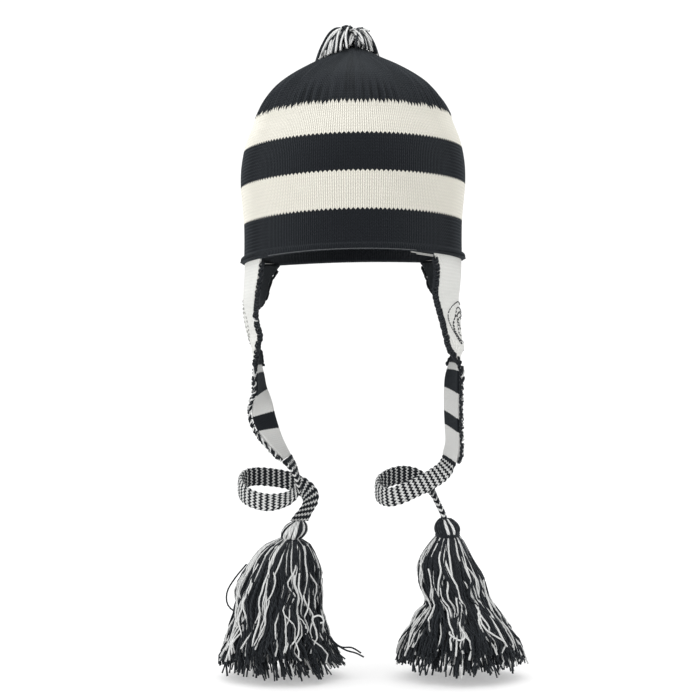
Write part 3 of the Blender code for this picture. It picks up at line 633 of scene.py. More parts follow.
def even_angles(count):
    """Angles round the crown's oval that are evenly spaced along it."""
    fine = np.linspace(0, 2 * np.pi, 4001)
    steps = np.hypot(np.diff(CROWN_WIDTH * np.cos(fine)), np.diff(CROWN_DEPTH * np.sin(fine)))
    run = np.concatenate(([0.0], np.cumsum(steps)))
    return np.interp(run[-1] * np.arange(count) / count, run, fine)


def rim_flatness(angle):
    """How much the rolled rim lies flat: not at all at the sides and back, most at the front."""
    return 0.62 * np.maximum(-np.sin(angle), 0.0) ** 2


def crown_arc():
    """Half width, height and height share along the crown's outside, keyed by the length from the rim."""
    rows = [(HALF_WIDTH * width, CROWN_HEIGHT * share, share) for share, width in CROWN_ROWS]
    steps = [math.hypot(b[0] - a[0], b[1] - a[1]) for a, b in zip(rows, rows[1:])]
    lengths = np.concatenate(([0.0], np.cumsum(steps)))
    return [(length, *row) for length, row in zip(lengths, rows)]


def crown_courses(share):
    """The number of courses from the rim up to this height share."""
    arc = crown_arc()
    return float(np.interp(share, [row[3] for row in arc], [row[0] for row in arc])) / COURSE


def build_crown():
    """The knitted dome: up the inside, round the rolled rim and up the outside, four columns a wale."""
    arc = crown_arc()
    total = arc[-1][0]
    columns = WALES_ROUND * COLUMNS_A_WALE
    outer_lengths = np.linspace(0.0, total - 0.0006, int(total / COURSE))
    inner_lengths = np.linspace(total - 0.004, 0.0, INSIDE_ROWS)
    roll_angles = np.radians(np.linspace(-160, 70, ROLL_ROWS))
    wall = HALF_WIDTH * CROWN_ROWS[0][1]

    def rows_at(lengths):
        values = smooth_rows(arc, lengths)
        ahead = smooth_rows(arc, lengths + 0.0005) - smooth_rows(arc, lengths - 0.0005)
        run, rise = ahead[:, 0], ahead[:, 1]
        size = np.maximum(np.hypot(run, rise), 1e-9)
        return values, rise / size, -run / size

    inner, inner_out, inner_up = rows_at(inner_lengths)
    outer, outer_out, outer_up = rows_at(outer_lengths)
    roll = RIM_ROLL * (0.1 + np.cos(roll_angles))
    half_width = np.concatenate((inner[:, 0] - CROWN_WALL * inner_out, wall + roll, outer[:, 0]))
    standing = np.concatenate((np.zeros(len(inner)), np.maximum(roll, 0.0), np.zeros(len(outer))))
    height = np.concatenate((
        inner[:, 1] - CROWN_WALL * inner_up, RIM_ROLL * (0.85 + np.sin(roll_angles)), outer[:, 1]))
    share = height / CROWN_HEIGHT
    out = np.concatenate((-inner_out, np.cos(roll_angles), outer_out))
    up = np.concatenate((-inner_up, np.sin(roll_angles), outer_up))
    courses = np.concatenate((
        inner_lengths / COURSE, -np.sin(np.linspace(0, np.pi, ROLL_ROWS)) * 4 - 0.1, outer_lengths / COURSE))
    outside = np.concatenate((np.zeros(len(inner)), np.ones(ROLL_ROWS), np.ones(len(outer))))

    angle = even_angles(columns)
    wale = np.arange(columns) / COLUMNS_A_WALE
    rib = RIB_HEIGHT * ease(RIBS_FROM, RIBS_FULL, share) * np.minimum(1.0, 2.5 * half_width / HALF_WIDTH)
    gather = 0.6 * np.cos(RIB_COUNT * angle)
    gather = gather + 0.4 * np.cos(29 * angle + 0.7) + 0.25 * np.cos(47 * angle + 2.0)
    leg = np.where(np.arange(columns) % 2 == 1, 1.0, 0.0)
    thin = np.minimum(1.0, 3.0 * half_width / HALF_WIDTH)
    relief = LEG_RELIEF * leg[None, :] * (outside * thin)[:, None]
    pleats = PLEAT_DEPTH * ease(0.650, 0.672, share) * (1 - ease(0.70, 0.79, share))
    fold = np.cos(PLEAT_COUNT * angle + 1.2 * np.sin(5 * angle)) * (0.7 + 0.5 * np.sin(9 * angle + 1.0))
    seam = sum(np.exp(-((angle - 1.5 * np.pi - place) / SEAM_SPREAD) ** 2) for place in SEAM_PLACES)
    seam_depth = SEAM_DEPTH * ease(0.67, 0.72, share) * (1 - ease(0.93, 0.97, share))
    reach = half_width[:, None] + rib[:, None] * gather[None, :] + relief * out[:, None]
    reach = reach + pleats[:, None] * fold[None, :] - seam_depth[:, None] * seam[None, :]
    reach = reach - standing[:, None] * rim_flatness(angle)[None, :]
    x = reach * np.cos(angle)
    y = reach * np.sin(angle) * CROWN_DEPTH / CROWN_WIDTH
    tilt = CROWN_TILT * x * (1 - ease(TILT_FROM, TILT_NONE, share))[:, None]
    z = height[:, None] + relief * up[:, None] + tilt + rim_lift(y, share[:, None])
    rings = np.stack((x, y, z), axis=-1)
    uv = np.zeros((len(rings), columns + 1, 2))
    uv[..., 0] = np.append(wale, WALES_ROUND)[None, :]
    uv[..., 1] = courses[:, None]
    crown = ring_mesh("crown_knit", rings, uv, [MATERIALS["crown"]])
    # Painted shade: the attribute darkens the colour in the pleats, the seams and the hollows between the
    # ribs.
    hollow = np.clip(-fold, 0, 1)[None, :] * (pleats / PLEAT_DEPTH)[:, None]
    hollow = hollow + (seam_depth / SEAM_DEPTH)[:, None] * seam[None, :]
    hollow = hollow + 0.35 * np.clip(-gather, 0, 1)[None, :] * (rib / RIB_HEIGHT)[:, None]
    # Painted light: the top, above a height share of about 0.7, comes out up to 12 percent lighter.
    shading = UNPAINTED_LEVEL + 0.62 * np.clip(hollow, 0, 1) - 0.12 * ease(0.66, 0.72, share)[:, None]
    layer = crown.data.attributes.new("painted_fold_shade_and_top_light", "FLOAT", "POINT")
    layer.data.foreach_set("value", np.append(shading.ravel(), (UNPAINTED_LEVEL,) * 2).astype(np.float32))
    return finish_piece(crown, "black_and_cream_knit", "crown")


def build_rim_highlight_and_yarn_end():
    """A thin grey strand along the front of the rolled rim, a painted highlight for the light its edge
    catches, and a pale yarn end beside the right flap.
    """
    x = np.linspace(-0.060, 0.044, 90)
    angle = math.radians(-52)
    wall = HALF_WIDTH * CROWN_ROWS[0][1]
    flatness = rim_flatness(-np.arccos(x / wall))
    half_width = wall + RIM_ROLL * (0.1 + math.cos(angle)) * (1 - flatness)
    y = -np.sqrt(np.maximum(1 - (x / half_width) ** 2, 0)) * half_width * CROWN_DEPTH / CROWN_WIDTH
    z = RIM_ROLL * (0.85 + math.sin(angle)) + CROWN_TILT * x + rim_lift(y, 0.0)
    # Painted highlight: a thin grey strand along the rim's front edge, where the rolled edge catches light.
    front = np.stack((x, y - 0.0002, z - 0.0001), axis=-1)
    end = ((0.0400, -0.0905, 0.0022), (0.0450, -0.0880, 0.0016), (0.0510, -0.0830, 0.0010),
           (0.0560, -0.0780, 0.0006))
    end = route_through(end, 16)
    second_end = end[4:] - (0, 0, 0.0007)
    bundles = [(front[None], 0.00030, 0), (end[None], 0.00042, 1), (second_end[None], 0.00042, 1)]
    yarns = [MATERIALS["painted rim highlight strand"], MATERIALS["pale strand"]]
    highlight_and_end = strand_piece("rim_highlight_and_yarn_end", bundles, yarns, sides=6)
    return finish_piece(highlight_and_end, "whipped_yarn")


def slab_rings(side, downs, acrosses, near, far):
    """Rings round a layer of cloth between two depths below the outer surface."""
    down, across = np.meshgrid(downs, acrosses, indexing="ij")
    points, _, normals = side_frames(side, down, across)
    return np.concatenate((points - normals * near, (points - normals * far)[:, ::-1]), axis=1)


def slab_map(side, downs, acrosses, wale=WALE):
    """The map of a layer in wales and courses, both faces alike."""
    spread = smooth_rows(FLAP_ROWS[side], downs)[:, 3]
    chord = STRAP_WIDTH + spread * (FLAP_WIDTH - STRAP_WIDTH)
    u = (np.asarray(acrosses)[None, :] - 0.5) * chord[:, None] / wale
    drop = FLAP_DROP * np.minimum(downs, 1.0) + STRAP_DROP * np.maximum(downs - 1.0, 0.0)
    v = np.broadcast_to(-drop[:, None] / (COURSE * wale / WALE), u.shape)
    face = np.stack((u, v), axis=-1)
    return np.concatenate((face, face[:, ::-1], face[:, :1]), axis=1)


def build_flap(side):
    """The cream outer layer and the black inner one, tucked up under the rolled rim."""
    downs = np.linspace(FLAP_TOP, FLAP_END, 64)
    acrosses = np.linspace(0.0, 1.0, 49)
    for name, node, near, far, slot in (
        ("flap_cloth", "flap", 0.0, FLAP_LAYER, "cream_knit"),
        ("lining_cloth", "lining", FLAP_LAYER + GAP / 3, 2 * FLAP_LAYER + GAP, "black_knit"),
    ):
        rings = slab_rings(side, downs, acrosses, near, far)
        layer = ring_mesh(f"{name}_{side}", rings, slab_map(side, downs, acrosses), [MATERIALS[slot]],
                          flip=side == "right")
        finish_piece(layer, slot, f"{node}_{side}")


def build_strap(side):
    """The striped strap, with rounded edges."""
    downs = np.linspace(STRAP_TOP, 2.0, 90)
    acrosses = 0.5 - 0.5 * np.cos(np.linspace(0.0, np.pi, 25))
    down, across = np.meshgrid(downs, acrosses, indexing="ij")
    points, _, normals = side_frames(side, down, across)
    half = STRAP_THICKNESS / 2
    round_off = np.sqrt(np.maximum(1 - np.maximum(np.abs(acrosses - 0.5) * 2 - 0.8, 0) ** 2 / 0.04, 0.02))
    middle = points - normals * half
    lift = normals * (half * round_off)[None, :, None]
    rings = np.concatenate((middle + lift, (middle - lift)[:, ::-1]), axis=1)
    strap = ring_mesh(f"strap_cloth_{side}", rings, slab_map(side, downs, acrosses, STRAP_WALE),
                      [MATERIALS[f"strap {side}"]], flip=side == "right")
    finish_piece(strap, "black_and_cream_knit", f"strap_{side}")


def edge_path(side, edge, count):
    """Places along the whipped edging, with the direction beyond the cloth and the cloth's normal."""
    last = 2.0 if edge == "front" else 1.0
    across = 0.0 if edge == "front" else 1.0
    downs = np.linspace(EDGING_START, last, count)
    points, rearward, normals = side_frames(side, downs, np.full(count, across))
    along = unit(np.gradient(points, axis=0))
    beyond = unit(rearward - along * (rearward * along).sum(axis=1, keepdims=True)) * (2 * across - 1)
    places = points - normals * STRAP_THICKNESS / 2 + beyond * (EDGING_RADIUS + 2 * GAP)
    return downs, places, beyond, normals, along


# For each edging: which of its three plies are white beside the flap and beside the strap, then its
# runs of whip stitches as from, to (in drop), spacing, reach, radius and the share of them that is white
EDGINGS = {
    ("left", "front"): ((0, 0, 0), (0, 0, 1), (
        (0.06, 0.50, 0.0032, 0.0014, 0.00060, 0.0), (0.50, 1.00, 0.0035, 0.0026, 0.00072, 0.1),
        (1.00, 2.00, 0.0018, 0.0025, 0.00060, 0.50))),
    ("right", "front"): ((0, 0, 0), (0, 0, 0), (
        (0.03, 1.00, 0.0028, 0.0026, 0.00085, 0.0), (1.00, 2.00, 0.0015, 0.0040, 0.00058, 0.60))),
    ("left", "rear"): ((0, 0, 0), (0, 0, 0), ((0.30, 0.95, 0.0052, 0.0030, 0.00045, 0.0),)),
    ("right", "rear"): ((0, 0, 0), (0, 0, 0), ((0.25, 0.95, 0.0052, 0.0030, 0.00045, 0.0),)),
}


def build_edging(side, edge):
    """Three yarns twisted round each other along the edge, with whip stitches into the cloth."""
    flap_plies, strap_plies, stitch_runs = EDGINGS[side, edge]
    _, rough_places, *_ = edge_path(side, edge, 60)
    length = route_length(rough_places)
    count = int(length / EDGING_PITCH * EDGING_STEPS)
    downs, places, beyond, normals, along = edge_path(side, edge, count)
    run = run_along(places)
    rng = np.random.default_rng(7 + (side == "right") * 2 + (edge == "rear"))
    unevenness = rng.uniform(0, 2 * np.pi, 4)
    bundles = []
    for ply in range(3):
        phase = 2 * np.pi * (run / EDGING_PITCH + ply / 3) + 1.5 * np.sin(run * 230 + unevenness[ply])
        twist = EDGING_TWIST * (1 + 0.22 * np.sin(run * 520 + unevenness[ply] * 2))
        route = places + (beyond * np.cos(phase)[:, None] + normals * np.sin(phase)[:, None]) * twist[:, None]
        beside_strap = downs >= 1.0
        if edge == "front":
            first = int(np.argmax(beside_strap))
            thick = STRAP_PLY * (1 + 0.25 * np.sin(run * 780 + 3 * unevenness[ply]))
            bundles.append((route[None, :first + 1], EDGING_PLY, flap_plies[ply]))
            bundles.append((route[None, first:], thick[None, first:], strap_plies[ply]))
        else:
            bundles.append((route[None], EDGING_PLY, flap_plies[ply]))
    t = np.linspace(0.0, 1.0, 9)
    for start_down, end_down, spacing, reach, radius, whiteness in stitch_runs:
        near, far = np.searchsorted(downs, (start_down, min(end_down, downs[-1])))
        far = min(far, count - 1)
        stitches = max(int((run[far] - run[near]) / spacing), 1)
        for index in range(stitches):
            distance = run[near] + (index + rng.uniform(0.3, 0.7)) * spacing
            here = int(np.interp(distance, run, np.arange(count)))
            inward = -beyond[here]
            span = reach * rng.uniform(*((0.8, 1.25) if start_down < 1.0 else (0.3, 1.5)))
            start = places[here] + beyond[here] * 0.0011
            lift = 0.0021 * np.sin(np.pi * t) ** 0.6
            ways = (-0.0034, -0.0016) if start_down < 1.0 else (-0.0046, 0.0038)
            lean = along[here] * (rng.uniform(*ways) * t[:, None])
            route = start + inward * (t * (span + 0.0011))[:, None] + normals[here] * lift[:, None] + lean
            thick = radius * (0.5 + 0.65 * np.sin(np.pi * t))
            bundles.append((route[None], thick[None], int(rng.random() < whiteness)))
    if edge == "front":
        bundles.extend(edge_loops(side, places, beyond, normals, along, downs))
    edging = strand_piece(f"edging_yarn_{edge}_{side}", bundles, black_and_white(), sides=6)
    return finish_piece(edging, "whipped_yarn", f"edging_{edge}_{side}")


def edge_loops(side, places, beyond, normals, along, downs):
    """Slack loops of yarn beside the top of the strap."""
    loops = []
    t = np.linspace(0.0, 2 * np.pi, 17)
    for down, size, slot in ((1.02, 0.0030, 0), (1.06, 0.0022, 1), (1.12, 0.0018, 0)):
        here = int(np.searchsorted(downs, down))
        swing = (np.cos(t) + 0.5 * np.sin(t))[:, None] * along[here]
        swing = swing + 0.56 * (1 - np.cos(t + 0.4))[:, None] * beyond[here]
        route = places[here] + beyond[here] * 0.0008 + size * swing
        route = route + normals[here] * (0.0012 * np.sin(t / 2))[:, None]
        loops.append((route[None], 0.0006, slot))
    return loops


SWIRLS = {  # middle across, half size across, middle down, half size down, from degrees, to degrees
    "right": ((0.50, 0.37, 0.600, 0.195, 70, 285), (0.52, 0.28, 0.610, 0.150, 60, 290),
              (0.55, 0.18, 0.605, 0.105, 50, 300), (0.58, 0.34, 0.640, 0.150, 100, 262),
              (0.56, 0.10, 0.590, 0.060, 40, 310)),
    "left": ((0.62, 0.32, 0.560, 0.215, 80, 270), (0.66, 0.24, 0.580, 0.160, 80, 275)),
}


def build_swirl(side):
    """Curved lines of small running stitches on a flap, near its rear edge."""
    bundles = []
    rng = np.random.default_rng(17)
    stitch, spacing = (0.0019, 0.0029) if side == "right" else (0.0018, 0.0036)
    for middle, across_size, level, down_size, low, high in SWIRLS[side]:
        angles = np.radians(np.linspace(low, high, 60))
        across = middle + across_size * np.cos(angles) + 0.035 * np.sin(3.1 * angles + 20 * across_size)
        down = level - down_size * np.sin(angles) + 0.12 * (across - 0.6)
        points, _, normals = side_frames(side, down, np.clip(across, 0.03, 0.97))
        run = run_along(points)
        for begin in np.arange(0.0, run[-1] - 0.002, spacing):
            begin = begin + rng.uniform(0, 0.0005)
            inside = np.linspace(begin, begin + stitch * rng.uniform(0.8, 1.2), 6)
            route = np.stack([np.interp(inside, run, points[:, axis]) for axis in range(3)], axis=-1)
            normal = np.stack([np.interp(inside, run, normals[:, axis]) for axis in range(3)], axis=-1)
            lift = SWIRL_LIFT * np.sin(np.pi * np.linspace(0, 1, 6)) - 0.0001
            bundles.append(((route + normal * lift[:, None])[None], SWIRL_YARN, 0))
    yarn = MATERIALS["black strand" if side == "right" else "pale strand"]
    swirl = strand_piece(f"swirl_stitches_{side}", bundles, [yarn])
    return finish_piece(swirl, "whipped_yarn")


def build_tie(side):
    """The flat marled band, knitted in courses of black and white, with scalloped edges."""
    rough, _, _ = tie_frames(side, 200)
    length = route_length(rough)
    count = int(length / TIE_COURSE * 5)
    places, across, normals = tie_frames(side, count)
    run = run_along(places)
    courses = run / TIE_COURSE
    phi = 2 * np.pi * np.arange(TIE_COLUMNS) / TIE_COLUMNS
    wide = np.sign(np.cos(phi)) * np.abs(np.cos(phi)) ** 0.8
    thick = np.sign(np.sin(phi)) * np.abs(np.sin(phi)) ** 0.6
    wale = TIE_WALES * (0.5 + 0.5 * wide)
    aside = np.abs(wale % 1.0 - 0.5) * 2
    leg = 1 - (2 * aside - 1) ** 2
    course = courses[:, None] - TIE_SLANT * (aside[None, :] - 0.5)
    bead = 1 - (2 * (course % 1.0) - 1) ** 2
    relief = 0.0006 * leg[None, :] * (0.3 + 0.7 * bead) - 0.0002
    scallop = 1 + 0.035 * np.cos(np.pi * (courses - 0.5)) + 0.02 * np.sin(2.3 * courses)
    x = wide[None, :] * (TIE_WIDTH / 2 * scallop)[:, None]
    depth = thick[None, :] * (TIE_THICKNESS / 2 + relief)
    rings = places[:, None] + across[:, None] * x[..., None] + normals[:, None] * depth[..., None]
    uv = np.zeros((count, TIE_COLUMNS + 1, 2))
    uv[:, :-1, 0] = wale
    uv[:, -1, 0] = wale[0]
    uv[..., 1] = courses[:, None]
    loop = places[count // 3:2 * count // 3]
    towards = ((loop.mean(axis=0) - loop) * normals[count // 3:2 * count // 3]).sum()
    inner = (np.sin(phi + 0.01) > 0) == (towards > 0)
    tie = ring_mesh(f"tie_band_{side}", rings, uv, [MATERIALS["band"], MATERIALS["band inside"]],
                    column_slots=inner.astype(int))
    finish_piece(tie, "marled_band", f"tie_{side}")
    return tie, places, length


NECK_SHARE = {"left": 0.25, "right": 0.85}  # a strand's depth in the neck beside that in the skirt


def neck_depth(side, shares):
    """How far the strands are drawn together in a tassel's neck."""
    return NECK_SHARE[side] + (1 - NECK_SHARE[side]) * ease(0.085, 0.165, shares)


def tassel_envelope(side, top, shares):
    """The middles and radii of a tassel at these shares of its length."""
    out, radius = np.moveaxis(smooth_rows(TASSEL_ROWS[side], shares), -1, 0)
    drop = -GAP - np.asarray(shares) * TASSEL_LENGTH
    middles = top + np.stack((OUTWARD[side] * out * TASSEL_RADIUS, 0 * drop, drop), axis=-1)
    return middles, radius * TASSEL_RADIUS


def skirt_strands(side, top, rng, bearings, depths, waves, starts, ends, clumps, weave, steps=20):
    """Loose strands that arch out of the neck and fall inside a tassel's outline.
    The clumps, given by phase and rate, sway together."""
    count = len(bearings)
    t = np.linspace(0.0, 1.0, steps) ** 1.25
    shares = starts[:, None] + (ends - starts)[:, None] * t[None, :]
    middles, radii = tassel_envelope(side, top, shares)
    phase, rate = clumps[0][:, None], clumps[1][:, None]
    own = rng.uniform(0, 2 * np.pi, (count, 3))
    swing = np.sin(rate * shares + phase) + 0.45 * np.sin(2.3 * rate * shares + phase * 1.7)
    swing = swing + 0.30 * np.sin(21 * shares + own[:, :1]) + 0.16 * np.sin(43 * shares + own[:, 1:2])
    loose = ease(0.08, 0.45, shares)
    bearing = bearings[:, None] + waves[:, None] * swing * loose
    depth = depths[:, None] * (1 + 0.045 * np.sin(1.6 * rate * shares + phase * 2.1) * loose
                               + 0.02 * np.sin(29 * shares + own[:, 2:3]) * loose
                               + weave * np.sin(15 * shares + 5 * own[:, 2:3]) * loose)
    depth = depth * neck_depth(side, shares)
    x = np.cos(bearing) * radii * depth
    y = np.sin(bearing) * radii * depth * TASSEL_DEPTH_SHARE
    return middles + np.stack((x, y, 0 * x), axis=-1)


# Loose ends beside the tassels: how far forward they lie, which yarn, and their x and z
STRAY_ENDS = {
    "left": (
        (-0.012, 0, ((-0.0790, -0.225), (-0.0880, -0.236), (-0.0935, -0.246), (-0.0925, -0.256),
                     (-0.0830, -0.263), (-0.0770, -0.265))),
        (-0.012, 0, ((-0.0190, -0.279), (-0.0120, -0.285), (-0.0050, -0.289), (0.0020, -0.291),
                     (0.0080, -0.294))),
        (-0.012, 0, ((-0.0200, -0.277), (-0.0100, -0.286), (-0.0010, -0.287), (0.0060, -0.291))),
        (-0.028, 1, ((-0.0300, -0.262), (-0.0255, -0.2605), (-0.0225, -0.262), (-0.0215, -0.2650),
                     (-0.0240, -0.266))),
    ),
    "right": (
        (-0.040, 1, ((0.0700, -0.2700), (0.0705, -0.2725), (0.0770, -0.2765), (0.0810, -0.2745),
                     (0.0800, -0.2700))),
    ),
}


def build_tassel(side, top):
    """Several hundred strands of yarn, black with some white, gathered under the tie's end."""
    rng = np.random.default_rng(31 if side == "left" else 57)
    spacing = 2 * np.pi / CLUMP_COUNT
    clump_bearings = spacing * (np.arange(CLUMP_COUNT) + rng.uniform(-0.4, 0.4, CLUMP_COUNT))
    clump_phases = rng.uniform(0, 2 * np.pi, CLUMP_COUNT)
    clump_rates = rng.uniform(5.0, 13.0, CLUMP_COUNT)
    bundles = []

    def add(count, low, high, wave, slot, radius, angles=None, starts=(0.055, 0.09), ends=(0.95, 1.0),
            front=0.13, weave=0.0):
        """Strands between two depths; front is how much shorter those that hang in front are."""
        clump = rng.integers(0, CLUMP_COUNT, count)
        bearings = clump_bearings[clump] + rng.normal(0, 0.075, count)
        if angles is not None:
            bearings = rng.uniform(*angles, count)
        depths = np.sqrt(rng.uniform(low**2, high**2, count))
        last = rng.uniform(*ends, count)
        last = last - np.maximum(-np.sin(bearings), 0) ** 0.5 * front * rng.uniform(0.6, 1.1, count)
        waves, first = rng.uniform(0.4, 1.0, count) * wave, rng.uniform(*starts, count)
        clumps = clump_phases[clump], clump_rates[clump]
        routes = skirt_strands(side, top, rng, bearings, depths, waves, first, last, clumps, weave)
        sizes = rng.uniform(0.8, 1.2, (count, 1)) * radius
        bundles.append((routes, np.broadcast_to(sizes, (count, routes.shape[1])), slot))

    add(390, 0.86, 0.97, 0.09, 0, 0.00070)
    add(250, 0.25, 0.90, 0.07, 0, 0.00070, ends=(0.975, 1.03), front=0.0)
    add(70, 0.97, 1.02, 0.14, 0, 0.00064, ends=(0.85, 1.0))
    add(60 if side == "left" else 80, 0.95, 1.00, 0.15, 1, 0.00066, ends=(0.90, 1.0), weave=0.045)
    add(30, 0.97, 1.01, 0.17, 1, 0.00062, starts=(0.20, 0.55), ends=(0.75, 0.98), weave=0.04)
    add(50, 0.25, 0.92, 0.10, 1, 0.00066, ends=(0.96, 1.02), front=0.0)
    if side == "left":
        add(7, 0.99, 1.03, 0.05, 1, 0.00068, angles=(math.radians(186), math.radians(222)),
            ends=(0.70, 0.95), front=0.0)
    for forward, slot, points in STRAY_ENDS[side]:
        route = route_through([(x, forward, z) for x, z in points], 18)
        bundles.append((route[None], STRAY_YARN, slot))
    tassel = strand_piece(f"tassel_yarn_{side}", bundles, black_and_white())
    finish_piece(tassel, "tassel_yarn", f"tassel_{side}")

    # Painted shadow: a near-black body inside the strands, standing for the shade deep within the tassel.
    shares = np.concatenate((np.linspace(0.0, 0.20, 12), np.linspace(0.26, 0.84, 12)))
    middles, radii = tassel_envelope(side, top, shares)
    angle = 2 * np.pi * np.arange(24) / 24
    spokes = np.stack((np.cos(angle), np.sin(angle) * TASSEL_DEPTH_SHARE, 0 * angle), axis=-1)
    rings = middles[:, None] + spokes[None] * (radii * CORE_SHARE * neck_depth(side, shares))[:, None, None]
    uv = np.zeros((24, 25, 2))
    core = ring_mesh(f"tassel_core_{side}", rings, uv, [MATERIALS["painted shadow yarn"]], flip=True)
    finish_piece(core, "tassel_yarn")

    head = build_tassel_head(side, top)
    return tassel, core, head


def build_tassel_head(side, top):
    """The loops that gather the tassel under the tie, and on the right tassel the yarn wound round their
    neck.
    """
    rng = np.random.default_rng(5 if side == "left" else 8)
    bundles = []
    t = np.linspace(0.0, 1.0, 26)
    right = side == "right"
    count = 24 if right else 17
    for index in range(count):
        bearing = 2 * np.pi * (index + rng.uniform(-0.25, 0.25)) / count
        shares = 0.004 + (0.135 if right else 0.125 * rng.uniform(0.9, 1.1)) * t
        middles, radii = tassel_envelope(side, top, shares)
        if right:
            bulge = 0.0086 * np.sin(np.pi * (0.10 + 0.80 * t)) ** 0.7
            twist = bearing + 0.45 * t
            slot = int(index in (2, 11, 17, 19))
        else:
            bulge = 0.0088 * rng.uniform(0.85, 1.12) * np.sin(np.pi * (0.08 + 0.80 * t)) ** 0.7
            twist = bearing + rng.uniform(-0.5, 0.5) * (t - 0.3)
            slot = int(index % 3 == 0 or index in (11, 13))
        offset = np.stack((np.cos(twist) * bulge, np.sin(twist) * bulge, 0 * t), axis=-1)
        thick = (0.00115 if right else 0.00135) * (0.8 + 0.3 * np.sin(np.pi * t))
        bundles.append(((middles + offset)[None], thick[None], slot))
    if right:
        turns = np.linspace(0, 2 * np.pi * 3.2, 90)
        middle, radius = tassel_envelope(side, top, np.full(90, 0.118))
        level = np.linspace(0.0018, -0.0018, 90)
        x = np.cos(turns) * radius * 0.92
        y = np.sin(turns) * radius * 0.88
        bundles.append(((middle + np.stack((x, y, level), axis=-1))[None], 0.0010, 0))
    head = strand_piece(f"tassel_head_{side}", bundles, black_and_white(), sides=THICK_STRAND_SIDES)
    return finish_piece(head, "tassel_yarn")


# By bearing in degrees: reach, how far below the tip it ends, and the height of the arch near the
# tip and farther out
POMPOM_ARCHES = {
    0: (0.0182, 0.0095, 0.0225, 0.0135), 90: (0.0200, 0.0060, 0.0230, 0.0130),
    180: (0.0305, 0.0180, 0.0262, 0.0140), 270: (0.0185, 0.0005, 0.0205, 0.0110),
}


def build_pompom():
    """A short fountain of thick yarn that springs from the tip and leans mostly left."""
    rng = np.random.default_rng(11)
    t = np.linspace(0.0, 1.0, POMPOM_STEPS)[:, None]
    known = sorted(POMPOM_ARCHES) + [360]
    arches = np.array([POMPOM_ARCHES[key % 360] for key in known])
    strands = ([], [])
    for index in range(POMPOM_STRANDS):
        middle, width = ((196, 42), (196, 42), (340, 30), (90, 60), (190, 60))[index % 5]
        bearing = rng.normal(middle, width) % 360
        reach, fall, near, far = (np.interp(bearing, known, column) for column in arches.T)
        size = rng.uniform(0.0, 1.0) ** 0.55
        if index % 6 == 0:
            reach, fall = reach * rng.uniform(0.25, 0.50), -rng.uniform(0.0105, 0.0140)
            near, size = near * 0.85, 1.0
        turn = math.radians(bearing)
        out = np.array((math.cos(turn), math.sin(turn), 0.0))
        aside = np.array((-math.sin(turn), math.cos(turn), 0.0)) * rng.uniform(-0.0075, 0.0075)
        start = out * 0.0016
        low = out * reach * rng.uniform(-0.05, 0.25) - aside * 0.8 + (0, 0, near * (0.42 + 0.58 * size))
        high = out * reach * (0.32 + 0.44 * size) + (0, 0, far * (0.38 + 0.62 * size)) + aside
        end = out * reach * (0.40 + 0.60 * size) * rng.uniform(0.95, 1.02) + aside * 1.6
        end = end - (0, 0, fall * (0.1 + 0.9 * size) * rng.uniform(0.8, 1.1))
        route = (1 - t) ** 3 * start + 3 * (1 - t) ** 2 * t * low + 3 * (1 - t) * t**2 * high + t**3 * end
        curl = np.sin(np.pi * t * 3.0 + index) * 0.0011 * t
        route = route + curl * np.cross(out, (0, 0, 1)) + (0, 0, CROWN_HEIGHT + 0.0004)
        distance = np.hypot(route[:, 0], route[:, 1] * CROWN_WIDTH / CROWN_DEPTH) / HALF_WIDTH
        floor = CROWN_HEIGHT * np.interp(distance, CROWN_REACHES, CROWN_LEVELS) + 0.0012
        route[1:, 2] = np.maximum(route[1:, 2], floor[1:])
        strands[int(rng.random() < POMPOM_WHITE_SHARE)].append(route)
    bundles = [(np.array(strands[0]), 0.00094, 0), (np.array(strands[1]), 0.00080, 1)]
    pompom = strand_piece("pompom_yarn", bundles, black_and_white(), sides=THICK_STRAND_SIDES)
    return finish_piece(pompom, "tassel_yarn", "pompom")


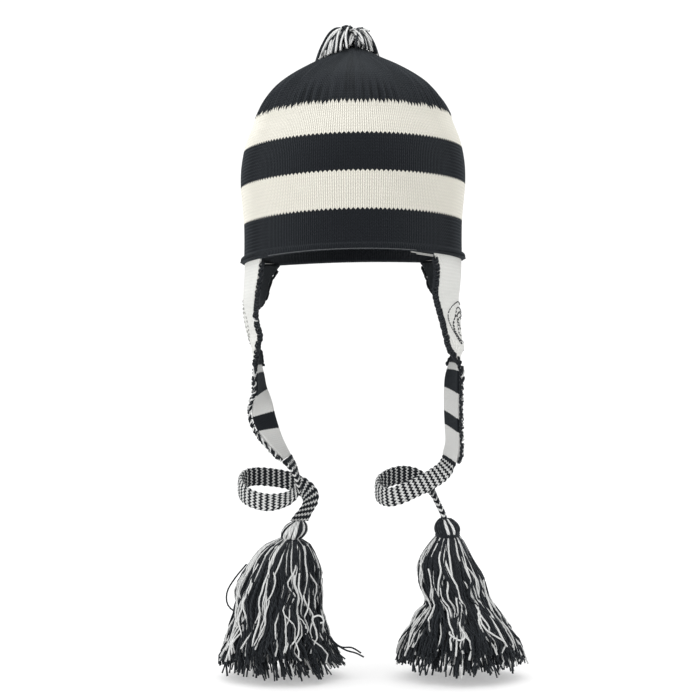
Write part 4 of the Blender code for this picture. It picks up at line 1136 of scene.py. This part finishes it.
def build_stage():
    """A pale floor that rises into a backdrop, and soft light from above and in front."""
    bpy.ops.mesh.primitive_plane_add(size=1.0, location=(0, 0, FLOOR_LEVEL))
    floor = bpy.context.object
    floor.name = "studio_floor"
    mesh = floor.data
    profile = [(-4.0, 0.0), (1.6, 0.0)]
    rise = np.radians(np.linspace(10, 90, 12))
    profile += [(1.6 + 1.2 * math.sin(a), 1.2 - 1.2 * math.cos(a)) for a in rise]
    profile.append((2.8, 5.0))
    points = [(x, y, z) for y, z in profile for x in (-5.0, 5.0)]
    faces = [(2 * i, 2 * i + 1, 2 * i + 3, 2 * i + 2) for i in range(len(profile) - 1)]
    mesh.clear_geometry()
    mesh.from_pydata(points, [], faces)
    mesh.shade_smooth()
    material, tree = new_material("pale studio paper")
    shader = tree.nodes["Principled BSDF"]
    shader.inputs["Base Color"].default_value = (0.62, 0.62, 0.62, 1.0)
    shader.inputs["Emission Color"].default_value = (1.0, 1.0, 1.0, 1.0)
    shader.inputs["Emission Strength"].default_value = 0.36
    shader.inputs["Roughness"].default_value = 0.95
    shader.inputs["Specular IOR Level"].default_value = 0.1
    mesh.materials.append(material)

    world = bpy.data.worlds.new("studio")
    world.use_nodes = True
    background = world.node_tree.nodes["Background"]
    background.inputs[0].default_value = (1.0, 1.0, 1.0, 1.0)
    background.inputs[1].default_value = 1.0
    bpy.context.scene.world = world
    for name, place, turn, size, power in (
        ("top light", (-0.2, -0.25, 1.7), (8, -6, 0), 2.6, 26.0),
        ("left light", (-1.7, -1.0, 0.5), (76, 0, -60), 1.4, 9.0),
    ):
        lamp = bpy.data.lights.new(name, "AREA")
        lamp.size = size
        lamp.energy = power
        holder = bpy.data.objects.new(name, lamp)
        holder.location = place
        holder.rotation_euler = tuple(math.radians(a) for a in turn)
        bpy.context.scene.collection.objects.link(holder)
    bpy.context.scene.view_settings.view_transform = "Standard"


make_camera()
GROUPS = {"stitches": knit_stitches_group(), "yarn": yarn_colour_group()}
MATERIALS = {
    "crown": knit_material("striped crown knit", [crown_courses(share) for share in CROWN_STRIPE_SHARES],
                           gathered=True),
    "cream_knit": knit_material("cream knit", below=FLAP_YARN),
    "black_knit": knit_material("black knit", below=BLACK_YARN),
    "strap left": strap_material("left"),
    "strap right": strap_material("right"),
    "band": band_material("marled band knit", TIE_BLACK_SHARE),
    "band inside": band_material("marled band knit, inner face", TIE_INNER_BLACK_SHARE),
    "black strand": strand_material("black yarn", BLACK_YARN),
    "white strand": strand_material("white yarn", WHITE_YARN),
    # painted highlight along the rim's front edge
    "painted rim highlight strand": strand_material("grey yarn", PAINTED_RIM_HIGHLIGHT_YARN),
    "pale strand": strand_material("pale grey yarn", PALE_YARN),
    "painted shadow yarn": strand_material("yarn in shadow", SHADOW_YARN),
}
for side in ("left", "right"):
    tie, places, length = build_tie(side)
    pieces = build_tassel(side, places[-1])
for side in ("left", "right"):
    build_flap(side)
    build_strap(side)
    build_edging(side, "front")
    build_edging(side, "rear")
    build_swirl(side)
build_crown()
build_rim_highlight_and_yarn_end()
build_pompom()
build_stage()
